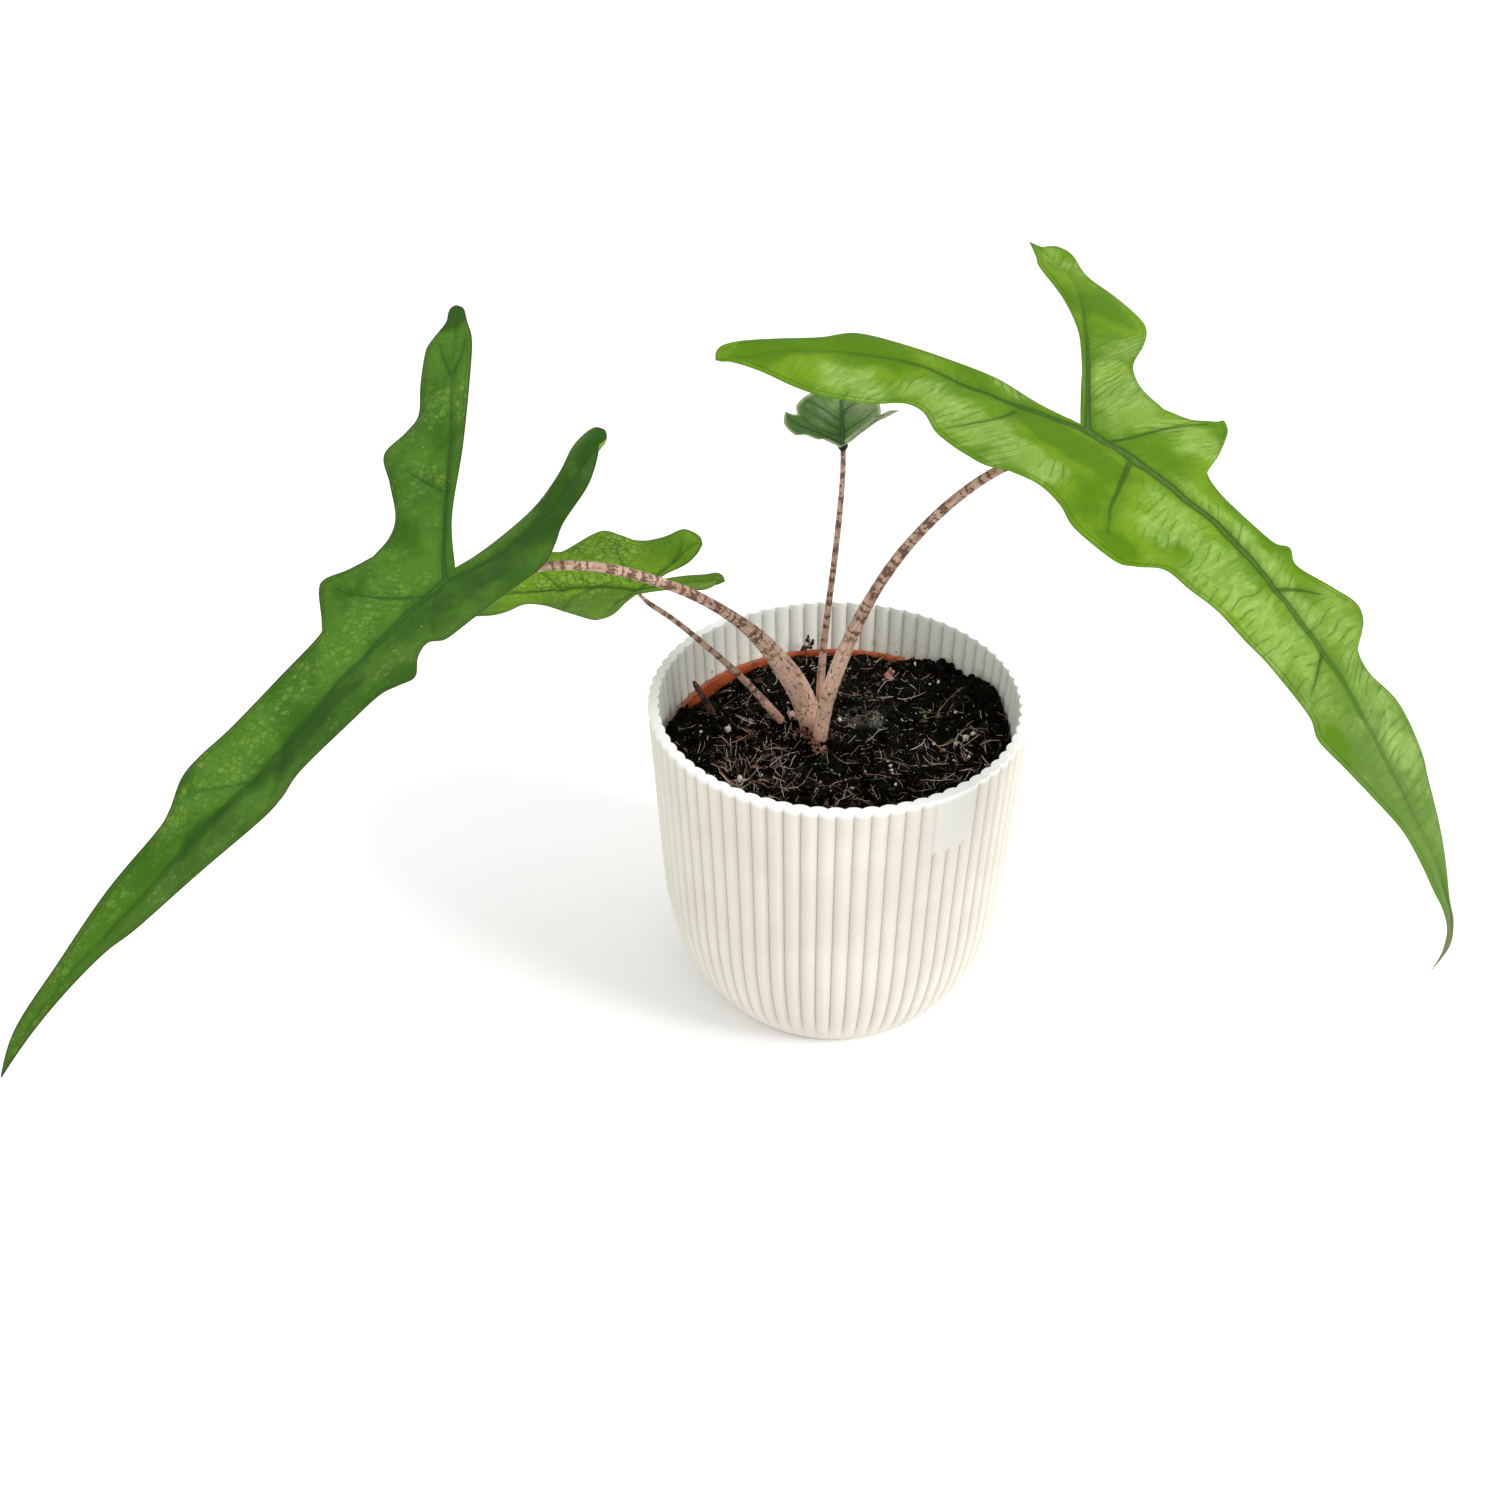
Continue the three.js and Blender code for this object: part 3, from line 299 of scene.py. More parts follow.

# How each blade is drawn: size of its facets, scale of its relief, half widths of its ribs at both
# ends, share of the cut pleats that it keeps, spacing of its fine veins, colours in sRGB, and how
# strongly its pale patches and streaks of painted sheen show
BLADE_LOOKS = {
    "large_right": {
        "slot": "leaf_bright", "facet": 1.0, "relief": 1.0, "rib": (1.85, 0.25), "lobe_rib": (1.1, 0.12),
        "rib_fade": 0.75, "mesh": 0.4, "pleats": 0.4, "spacing": 3.4, "dull_from": 62, "dull_to": 150,
        "bright": (116, 156, 22), "deep": (92, 134, 10), "clear": (84, 126, 0), "pale": (170, 200, 106),
        "dull": (98, 128, 62), "lit": (152, 188, 70), "rib_colour": (84, 114, 48), "rib_edge": (52, 84, 16),
        "line": (64, 110, 20), "margin": (82, 128, 12), "under": (150, 184, 96), "glow": (140, 190, 20),
        "spots": 0.1, "net": 0.14, "lines": 0.6, "painted_sheen": 0.8, "rough": 0.42, "tail": (182, 198),
    },
    "large_left": {
        "slot": "leaf_dark", "facet": 1.0, "relief": 1.0, "rib": (1.2, 0.2), "lobe_rib": (0.8, 0.12),
        "rib_fade": 0.7, "mesh": 0.42, "pleats": 0.35, "spacing": 3.0, "dull_from": 90, "dull_to": 180,
        "bright": (80, 124, 34), "deep": (58, 102, 18), "clear": (44, 84, 14), "pale": (104, 146, 64),
        "dull": (72, 116, 22), "lit": (132, 166, 60), "rib_colour": (66, 108, 44), "rib_edge": (42, 84, 22),
        "line": (44, 86, 22), "margin": (62, 66, 34), "under": (110, 150, 86), "glow": (96, 150, 20),
        "spots": 0.52, "net": 0.34, "lines": 0.14, "painted_sheen": 0.34, "rough": 0.42,
    },
    "small_left": {
        "slot": "leaf_small", "facet": 0.9, "relief": 0.75, "rib": (0.7, 0.25), "lobe_rib": (0.5, 0.15),
        "rib_fade": 0.4, "mesh": 0.4, "pleats": 0.4, "spacing": 2.4, "dull_from": 60, "dull_to": 90,
        "bright": (122, 166, 28), "deep": (94, 138, 14), "clear": (96, 144, 0), "pale": (152, 186, 84),
        "dull": (116, 160, 40), "lit": (160, 192, 80), "rib_colour": (70, 110, 30), "rib_edge": (54, 94, 20),
        "line": (62, 104, 16), "margin": (80, 84, 34), "under": (140, 170, 96), "glow": (120, 170, 20),
        "spots": 0.7, "net": 0.95, "lines": 0.2, "painted_sheen": 0.3, "rough": 0.42,
    },
    "young_centre": {
        "slot": "leaf_young", "facet": 0.5, "relief": 0.42, "rib": (0.8, 0.3), "lobe_rib": (0.4, 0.12),
        "rib_fade": 0.3, "mesh": 0.7, "pleats": 0.6, "spacing": 1.2, "dull_from": 60, "dull_to": 90,
        "bright": (122, 156, 86), "deep": (98, 134, 66), "clear": (92, 138, 50), "pale": (190, 202, 164),
        "dull": (110, 146, 80), "lit": (154, 182, 118), "rib_colour": (104, 138, 98),
        "rib_edge": (52, 84, 44), "line": (60, 94, 48), "margin": (200, 206, 180),
        "under": (206, 212, 190), "glow": (130, 170, 70),
        "spots": 0.2, "net": 0.4, "lines": 0.9, "painted_sheen": 1.0, "rough": 0.5, "rolled": (12.0, 15.0),
    },
}

# The same on all blades: colours of the flecks and of an old tip, how far a rolled edge shows the
# look of the underside, and the share of light that passes through
FLECK_COLOUR = (214, 226, 190)
OLD_TIP_COLOUR = (112, 108, 84)
UNDER_SHARE_OF_ROLL = 0.9
LIGHT_THROUGH_BLADE = 0.14


# Numbers

def noise(points, size, seed):
    """Smooth noise from -1 to 1 at each point, with bumps about one size across."""
    place = np.asarray(points, float) / size + 31.7 * seed
    cell = np.floor(place).astype(np.int64)
    part = place - cell
    part = part * part * (3 - 2 * part)
    factors = np.array([374761393, 668265263, 1440662683][:place.shape[1]])
    total = np.zeros(len(place))
    for corner in np.ndindex(*(2,) * place.shape[1]):
        mixed = ((cell + corner) * factors).sum(1) & 0xFFFFFFFF
        mixed = ((mixed ^ (mixed >> 13)) * 1274126177) & 0xFFFFFFFF
        mixed ^= mixed >> 16
        weight = np.where(np.array(corner) == 1, part, 1 - part).prod(1)
        total += weight * (mixed / 2**31 - 1)
    return total


def ease(value, low, high):
    """0 below low, 1 above high and smooth between them."""
    share = np.clip((np.asarray(value, float) - low) / (high - low), 0, 1)
    return share * share * (3 - 2 * share)


def bell(away, width):
    """1 at 0, and falling to nothing on both sides."""
    return np.exp(-(away / width)**2)


def angles(count):
    """Evenly spaced angles, once round."""
    return np.arange(count) / count * TURN


def off_angle(angle, middle):
    """How far an angle is from another, by the shorter way round."""
    return np.abs(np.mod(angle - middle + math.pi, TURN) - math.pi)


def lengths(points):
    """Distance along a line of points, from 0 at its first one."""
    steps = np.linalg.norm(np.diff(points, axis=0), axis=1)
    return np.concatenate([[0], np.cumsum(steps)])


def flat_curve(points):
    """The uniform Catmull-Rom curve through points, as a function of a share from 0 to 1."""
    points = np.asarray(points, float)
    last = len(points) - 1

    def at(shares):
        place = np.asarray(shares, float) * last
        step = np.minimum(place.astype(int), last)
        t = (place - step)[:, None]
        p0, p1, p2, p3 = (points[np.clip(step + k, 0, last)] for k in (-1, 0, 1, 2))
        v0, v1 = (p2 - p0) / 2, (p3 - p1) / 2
        return (2 * p1 - 2 * p2 + v0 + v1) * t**3 + (3 * p2 - 3 * p1 - 2 * v0 - v1) * t**2 + v0 * t + p1

    return at


def space_curve(points):
    """The centripetal Catmull-Rom curve through points in space."""
    points = np.asarray(points, float)
    last = len(points) - 1
    ends = np.vstack([2 * points[0] - points[1], points, 2 * points[-1] - points[-2]])

    def at(shares):
        place = np.asarray(shares, float) * last
        step = np.clip(np.floor(place).astype(int), 0, last - 1)
        t = (place - step)[:, None]
        p = [ends[step + k] for k in range(4)]
        d0, d1, d2 = (np.linalg.norm(b - a, axis=1)[:, None] ** 0.5 for a, b in zip(p, p[1:]))
        v1 = ((p[1] - p[0]) / d0 - (p[2] - p[0]) / (d0 + d1) + (p[2] - p[1]) / d1) * d1
        v2 = ((p[2] - p[1]) / d1 - (p[3] - p[1]) / (d1 + d2) + (p[3] - p[2]) / d2) * d1
        c2 = 3 * (p[2] - p[1]) - 2 * v1 - v2
        c3 = 2 * (p[1] - p[2]) + v1 + v2
        return p[1] + v1 * t + c2 * t**2 + c3 * t**3

    return at


def evenly(curve, shares, divisions=200):
    """Points of a curve at shares of its length."""
    knots = np.linspace(0, 1, divisions + 1)
    run = lengths(curve(knots))
    return curve(np.interp(np.asarray(shares) * run[-1], run, knots))


def curve_length(curve, divisions=200):
    return lengths(curve(np.linspace(0, 1, divisions + 1)))[-1]


def near_line(points, line):
    """Distance of each point from a line of points, and the share of its length nearest to it."""
    run = lengths(line)
    best = np.full(len(points), 1e9)
    share = np.zeros(len(points))
    for a, b, from_start, to_start in zip(line, line[1:], run, run[1:]):
        k = np.clip((points - a) @ (b - a) / ((b - a) @ (b - a)), 0, 1)
        gap = np.linalg.norm(points - a - k[:, None] * (b - a), axis=1)
        closer = gap < best
        best = np.where(closer, gap, best)
        share = np.where(closer, (from_start + k * (to_start - from_start)) / run[-1], share)
    return best, share


# Meshes

def weld(points, faces, apart=0.004):
    """Numbers of the points that stay when those that lie together become one, and the faces."""
    _, kept, where = np.unique(
        np.round(points / apart).astype(np.int64), axis=0, return_index=True, return_inverse=True)
    faces = where.reshape(-1)[faces]
    a, b, c = faces.T
    return kept, faces[(a != b) & (b != c) & (c != a)]


def grid_faces(points):
    """Triangles of a grid of points, each cell cut along its shorter diagonal."""
    rows, columns = points.shape[0] - 1, points.shape[1] - 1
    a = (np.arange(rows)[:, None] * (columns + 1) + np.arange(columns)).reshape(-1)
    b, c, d = a + 1, a + columns + 2, a + columns + 1
    flat = points.reshape(-1, points.shape[2])
    cut = np.linalg.norm(flat[b] - flat[d], axis=1) < np.linalg.norm(flat[a] - flat[c], axis=1)
    one = np.where(cut[:, None], np.stack([a, b, d], 1), np.stack([a, b, c], 1))
    two = np.where(cut[:, None], np.stack([b, c, d], 1), np.stack([a, c, d], 1))
    return np.concatenate([one, two])


def round_ring(angle, radius, z):
    """A ring of points round the pot's axis."""
    return np.stack(np.broadcast_arrays(radius * np.cos(angle), radius * np.sin(angle), z), 1)


def skin(rings):
    """Points and triangles of a closed skin through rings, with a fan over both ends."""
    count, sides = rings.shape[:2]
    start = np.arange(count - 1)[:, None] * sides
    side, after = np.arange(sides), (np.arange(sides) + 1) % sides
    a, b = (start + side).reshape(-1), (start + after).reshape(-1)
    points = np.vstack([rings.reshape(-1, 3), rings[0].mean(0), rings[-1].mean(0)])
    low, high = len(points) - 2, len(points) - 1
    top = (count - 1) * sides
    faces = np.concatenate([
        np.stack([a, b, b + sides], 1),
        np.stack([a, b + sides, a + sides], 1),
        np.stack([np.full(sides, low), after, side], 1),
        np.stack([np.full(sides, high), top + side, top + after], 1),
    ])
    a, b, c = (points[faces[:, k]] for k in range(3))
    volume = np.einsum("ij,ij->i", a, np.cross(b, c)).sum()
    return points, faces[:, ::-1] if volume < 0 else faces


def thin_shell(sheet, count):
    """Triangles of a sheet, of its underside, whose points come count later, and of the rim."""
    edges = np.concatenate([sheet[:, [0, 1]], sheet[:, [1, 2]], sheet[:, [2, 0]]])
    size = edges.max() + 1
    forward, backward = edges[:, 0] * size + edges[:, 1], edges[:, 1] * size + edges[:, 0]
    a, b = edges[~np.isin(forward, backward)].T
    return np.concatenate([sheet, sheet[:, ::-1] + count, np.stack([b, a, a + count], 1),
                           np.stack([b, a + count, b + count], 1)])


def point_normals(points, faces):
    a, b, c = (points[faces[:, k]] for k in range(3))
    across = np.cross(b - a, c - a)
    total = np.zeros_like(points)
    for k in range(3):
        np.add.at(total, faces[:, k], across)
    return total / np.maximum(np.linalg.norm(total, axis=1), 1e-12)[:, None]


def make_piece(name, points, faces, material, slot, stands_for=None, values=None, crease=60):
    """A mesh piece that rides on the part, sharp where it bends by more than crease degrees.

    values holds a number or a vector for each point.
    """
    mesh = bpy.data.meshes.new(name)
    mesh.vertices.add(len(points))
    mesh.vertices.foreach_set("co", (np.asarray(points) * MM).astype(np.float32).ravel())
    mesh.loops.add(3 * len(faces))
    mesh.loops.foreach_set("vertex_index", np.asarray(faces, np.int32).ravel())
    mesh.polygons.add(len(faces))
    mesh.polygons.foreach_set("loop_start", np.arange(0, 3 * len(faces), 3, dtype=np.int32))
    mesh.update(calc_edges=True)
    mesh.validate()
    mesh.shade_smooth()
    mesh.set_sharp_from_angle(angle=crease * DEG)
    for key, value in (values or {}).items():
        value = np.asarray(value, np.float32)
        kind, field = ("FLOAT", "value") if value.ndim == 1 else ("FLOAT_VECTOR", "vector")
        mesh.attributes.new(key, kind, "POINT").data.foreach_set(field, value.ravel())
    mesh.materials.append(material)
    piece = bpy.data.objects.new(name, mesh)
    bpy.context.scene.collection.objects.link(piece)
    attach(piece, "root")
    if stands_for:
        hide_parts(stands_for)
    return piece


class Heap:
    """Many small closed skins that become one piece, each with a shade of its own."""

    def __init__(self):
        self.points, self.faces, self.shades, self.count = [], [], [], 0

    def add(self, points, faces, shade):
        self.points.append(points)
        self.faces.append(faces + self.count)
        self.shades.append(np.full(len(points), shade))
        self.count += len(points)

    def piece(self, name, material, slot):
        make_piece(name, np.vstack(self.points), np.vstack(self.faces), material, slot,
                   values={"shade": np.concatenate(self.shades)}, crease=50)


# Materials

def srgb(red, green, blue):
    """A colour measured from 0 to 255, as the shaders take it."""
    parts = [value / 255 for value in (red, green, blue)]
    return tuple(p / 12.92 if p <= 0.04045 else ((p + 0.055) / 1.055) ** 2.4 for p in parts) + (1,)


class Wire:
    """A number, vector or colour inside a material. Arithmetic with it adds nodes."""

    def __init__(self, look, socket):
        self.look, self.socket = look, socket

    def __add__(self, other):
        return self.look.math("ADD", self, other)

    def __sub__(self, other):
        return self.look.math("SUBTRACT", self, other)

    def __mul__(self, other):
        return self.look.math("MULTIPLY", self, other)

    def __truediv__(self, other):
        return self.look.math("DIVIDE", self, other)

    def band(self, low, high, to_low=0.0, to_high=1.0):
        """A smooth step from to_low to to_high as this number goes from low to high."""
        return self.look.wire("MapRange", {"interpolation_type": "SMOOTHSTEP"}, 0,
                              self, low, high, to_low, to_high)

    def layered(self, *layers):
        """This colour under layers, each a share and a colour."""
        colour = self
        for share, tint in layers:
            colour = self.look.blend(share, colour, tint)
        return colour


class Look:
    """A node material that is built from short calls. Colours in it are sRGB, from 0 to 255."""

    def __init__(self, name):
        self.material = bpy.data.materials.new(name)
        self.material.use_nodes = True
        self.tree = self.material.node_tree
        self.tree.nodes.clear()

    @cached_property
    def place(self):
        """The point on the object, in millimetres."""
        return self.scaled(self.add("TexCoord").outputs["Object"], 1 / MM, 1 / MM, 1 / MM)

    def put(self, socket, value):
        value = value.socket if isinstance(value, Wire) else value
        if isinstance(value, bpy.types.NodeSocket):
            self.tree.links.new(value, socket)
        else:
            socket.default_value = value

    def add(self, kind, settings=None, **inputs):
        node = self.tree.nodes.new("ShaderNode" + kind)
        for key, value in (settings or {}).items():
            setattr(node, key, value)
        for key, value in inputs.items():
            self.put(node.inputs[key.replace("_", " ")], value)
        return node

    def wire(self, kind, settings, output, *values, **inputs):
        """One output of a new node, whose first inputs take the values."""
        node = self.add(kind, settings, **inputs)
        for socket, value in zip(node.inputs, values):
            self.put(socket, value)
        return Wire(self, node.outputs[output])

    def value(self, name):
        """A number that the mesh carries."""
        return self.wire("Attribute", {"attribute_name": name}, "Fac")

    def vector(self, name):
        """A vector that the mesh carries."""
        return self.wire("Attribute", {"attribute_name": name}, "Vector")

    def scaled(self, vector, x, y, z):
        return self.wire("VectorMath", {"operation": "MULTIPLY"}, 0, vector, (x, y, z))

    def shifted(self, vector, other, share):
        """A vector moved by a share of another."""
        return self.wire("VectorMath", {"operation": "MULTIPLY_ADD"}, 0, other, (share,) * 3, vector)

    def joined(self, x, y):
        return self.wire("CombineXYZ", None, 0, x, y)

    def part(self, vector, axis):
        return self.wire("SeparateXYZ", None, axis, vector)

    def math(self, operation, a, b=0.0):
        return self.wire("Math", {"operation": operation}, 0, a, b)

    def blend(self, share, a, b):
        node = self.add("Mix", {"data_type": "RGBA"})
        a, b = (srgb(*colour) if isinstance(colour, tuple) else colour for colour in (a, b))
        for index, value in ((0, share), (6, a), (7, b)):
            self.put(node.inputs[index], value)
        return Wire(self, node.outputs[2])

    def cloud(self, vector, scale, detail=3.0, roughness=0.55):
        return self.wire("TexNoise", None, "Fac", Vector=vector, Scale=scale, Detail=detail,
                         Roughness=roughness)

    def wobble(self, vector, scale, detail=2.0):
        return self.wire("TexNoise", None, "Color", Vector=vector, Scale=scale, Detail=detail)

    def cells(self, vector, scale, output="Distance", feature="F1"):
        return self.wire("TexVoronoi", {"feature": feature}, output, Vector=vector, Scale=scale)

    def bump(self, height, distance, strength=1.0):
        """Relief whose height of 1 stands distance millimetres out."""
        return self.wire("Bump", None, "Normal", Height=height, Distance=distance * MM, Strength=strength)

    def uneven(self, scale, low, high, detail=3.0):
        """A roughness that goes from low to high in patches."""
        return self.cloud(self.place, scale, detail).band(0.3, 0.7, low, high)

    def surface(self, colour, roughness, normal=None, specular=0.5, through=None, **more):
        """Ends the material. through is the colour of the light that passes through it."""
        if normal is not None:
            more["Normal"] = normal
        shader = self.add("BsdfPrincipled", Base_Color=colour, Roughness=roughness,
                          Specular_IOR_Level=specular, **more)
        out = shader.outputs[0]
        if through is not None:
            glow = self.add("BsdfTranslucent", Color=through)
            out = self.wire("MixShader", None, 0, LIGHT_THROUGH_BLADE, out, glow.outputs[0])
        self.add("OutputMaterial", Surface=out)
        return self.material


# Leaves

def rib_profile(droop):
    """The rib seen from the side, a point for each millimetre: distance out, height and pitch."""
    steps = np.arange(droop[-1][0] + 1)
    pitch = np.interp(steps, *zip(*droop)) * DEG
    mean = (pitch[1:] + pitch[:-1]) / 2
    out = np.concatenate([[0], np.cumsum(np.cos(mean))])
    up = np.concatenate([[0], np.cumsum(np.sin(mean))])
    return out, up, pitch


def blade_points(leaf, flat, raised):
    """Places in space of points of the blade, raised from its surface."""
    u, v = flat.T
    out_at, up_at, pitch_at = rib_profile(leaf["droop"])
    steps = np.arange(len(out_at))
    pitch = np.interp(u, steps, pitch_at)
    out = np.where(u < 0, u * math.cos(pitch_at[0]), np.interp(u, steps, out_at))
    up = np.where(u < 0, u * math.sin(pitch_at[0]), np.interp(u, steps, up_at))
    lift = np.where(v < 0, leaf["lift"][0], leaf["lift"][1])
    behind = np.minimum(u, 0)
    rise = lift * behind**2 / (25 - behind)
    height = leaf["fold"] * (np.hypot(v, 3) - 3) - leaf["curl"] * v**2 + rise + raised
    roll = leaf["roll"] * DEG
    across = v * math.cos(roll) - height * math.sin(roll)
    above = v * math.sin(roll) + height * math.cos(roll)
    x, z = out - above * np.sin(pitch), up + above * np.cos(pitch)
    turn = leaf["heading"] * DEG
    return np.stack([
        x * math.cos(turn) - across * math.sin(turn),
        x * math.sin(turn) + across * math.cos(turn),
        z,
    ], 1) + leaf["junction"]


def blade_curves(leaf):
    """The ribs and edges that a blade is spanned between."""
    curves = {"rib": flat_curve(leaf["rib"])}
    for side in SIDES:
        half = leaf[side]
        shoulder, lobe_tip = half["margin"][0], half["lobe_tip"]
        for part, points in (("margin", [*half["margin"], leaf["rib"][-1]]),
                             ("lobe", [shoulder, *half["lobe"], lobe_tip]),
                             ("sinus", [leaf["notch"], *half["sinus"], lobe_tip]),
                             ("lobe_rib", [(0, 0), *half["lobe_rib"], lobe_tip])):
            curves[side, part] = flat_curve(points)
    return curves


def steady(width):
    """The widths of a strip, averaged over those near each."""
    around = bell(np.linspace(-2, 2, 2 * len(width) // 12 + 1), 1)
    padded = np.pad(width, len(around) // 2, mode="edge")
    return np.convolve(padded, around / around.sum(), "same")[len(around) // 2:][:len(width)]


def blade_sheet(leaf, look, curves):
    """The middle sheet of a blade: flat points, triangles, and what each point knows of itself."""
    length = {key: curve_length(curve) for key, curve in curves.items()}
    sample = np.linspace(0, 1, 60)
    strips = []
    for side in SIDES:
        front = max(length["rib"], length["left", "margin"], length["right", "margin"])
        back = max(length[side, part] for part in ("lobe", "sinus", "lobe_rib"))
        strips += [
            ("rib", (side, "margin"), front, leaf["veins"]),
            ((side, "lobe_rib"), (side, "lobe"), back, leaf["veins"] / 2),
            ((side, "lobe_rib"), (side, "sinus"), back, leaf["veins"] / 2),
        ]
    widest = max(
        np.linalg.norm(evenly(curves[a], sample) - evenly(curves[b], sample), axis=1).max()
        for a, b, _, _ in strips)
    columns = math.ceil(widest / look["facet"])
    c = np.linspace(0, 1, columns + 1)
    flats, faces, knows, total = [], [], [], 0
    for rib, edge, run, veins in strips:
        t = np.linspace(0, 1, math.ceil(run / look["facet"]) + 1)
        start, end = evenly(curves[rib], t), evenly(curves[edge], t)
        width = np.linalg.norm(end - start, axis=1)
        flat = start[:, None] + (end - start)[:, None] * c[None, :, None]
        away = steady(width)[:, None] * c
        along = (t * length[rib])[:, None] - 0.08 * away - 0.006 * away**2
        pleat = 0.5 - 0.5 * np.cos(TURN * veins * t)
        bulge = pleat[:, None] * np.sin(math.pi * c) * np.minimum(1, width / 20)[:, None]
        fade = (ease(t * length[rib], 1.5, 7) * ease(width, 3, 9))[:, None]
        strip = grid_faces(flat)
        points = flat.reshape(-1, 2)
        a, b, d = (points[strip[:, k]] for k in range(3))
        upside = (b - a)[:, 0] * (d - a)[:, 1] - (b - a)[:, 1] * (d - a)[:, 0]
        faces.append((strip if upside.sum() > 0 else strip[:, ::-1]) + total)
        flats.append(points)
        knows.append(np.stack(np.broadcast_arrays(
            along, bulge, width[:, None] * (1 - c), fade, t[:, None]), 2).reshape(-1, 5))
        total += len(points)
    kept, faces = weld(np.vstack(flats), np.vstack(faces))
    return np.vstack(flats)[kept], faces, np.vstack(knows)[kept]


def rib_gaps(name, curves, look, flat):
    """Distance from the edge of the nearest rib and side vein, below 0 on it, and how far the rib shows."""
    ribs, veins, seen = np.full(len(flat), 99.0), np.full(len(flat), 99.0), np.ones(len(flat))
    for key, (wide, slim) in (("rib", look["rib"]), (("left", "lobe_rib"), look["lobe_rib"]),
                              (("right", "lobe_rib"), look["lobe_rib"])):
        gap, share = near_line(flat, curves[key](np.linspace(0, 1, 26)))
        gap = gap - (wide + (slim - wide) * share**0.7)
        seen = np.where(gap < ribs, 1 - look["rib_fade"] * ease(share, 0.25, 0.85), seen)
        ribs = np.minimum(ribs, gap)
    for half, line in SIDE_VEINS[name]:
        gap, share = near_line(flat, flat_curve(line)(np.linspace(0, 1, 12)))
        veins = np.minimum(veins, gap - half * (1 - 0.75 * share))
    return ribs, veins, seen


def patches(name, flat):
    """How much pale painted sheen (above 0) or clear green (below 0) the blade has at each point, from -1 to
    1.
    """
    total = np.zeros(len(flat))
    for u, v, long, wide, amount in PATCHES[name]:
        total += amount * np.exp(-((flat[:, 0] - u) / long)**2 - ((flat[:, 1] - v) / wide)**2)
    return np.clip(total, -1, 1)


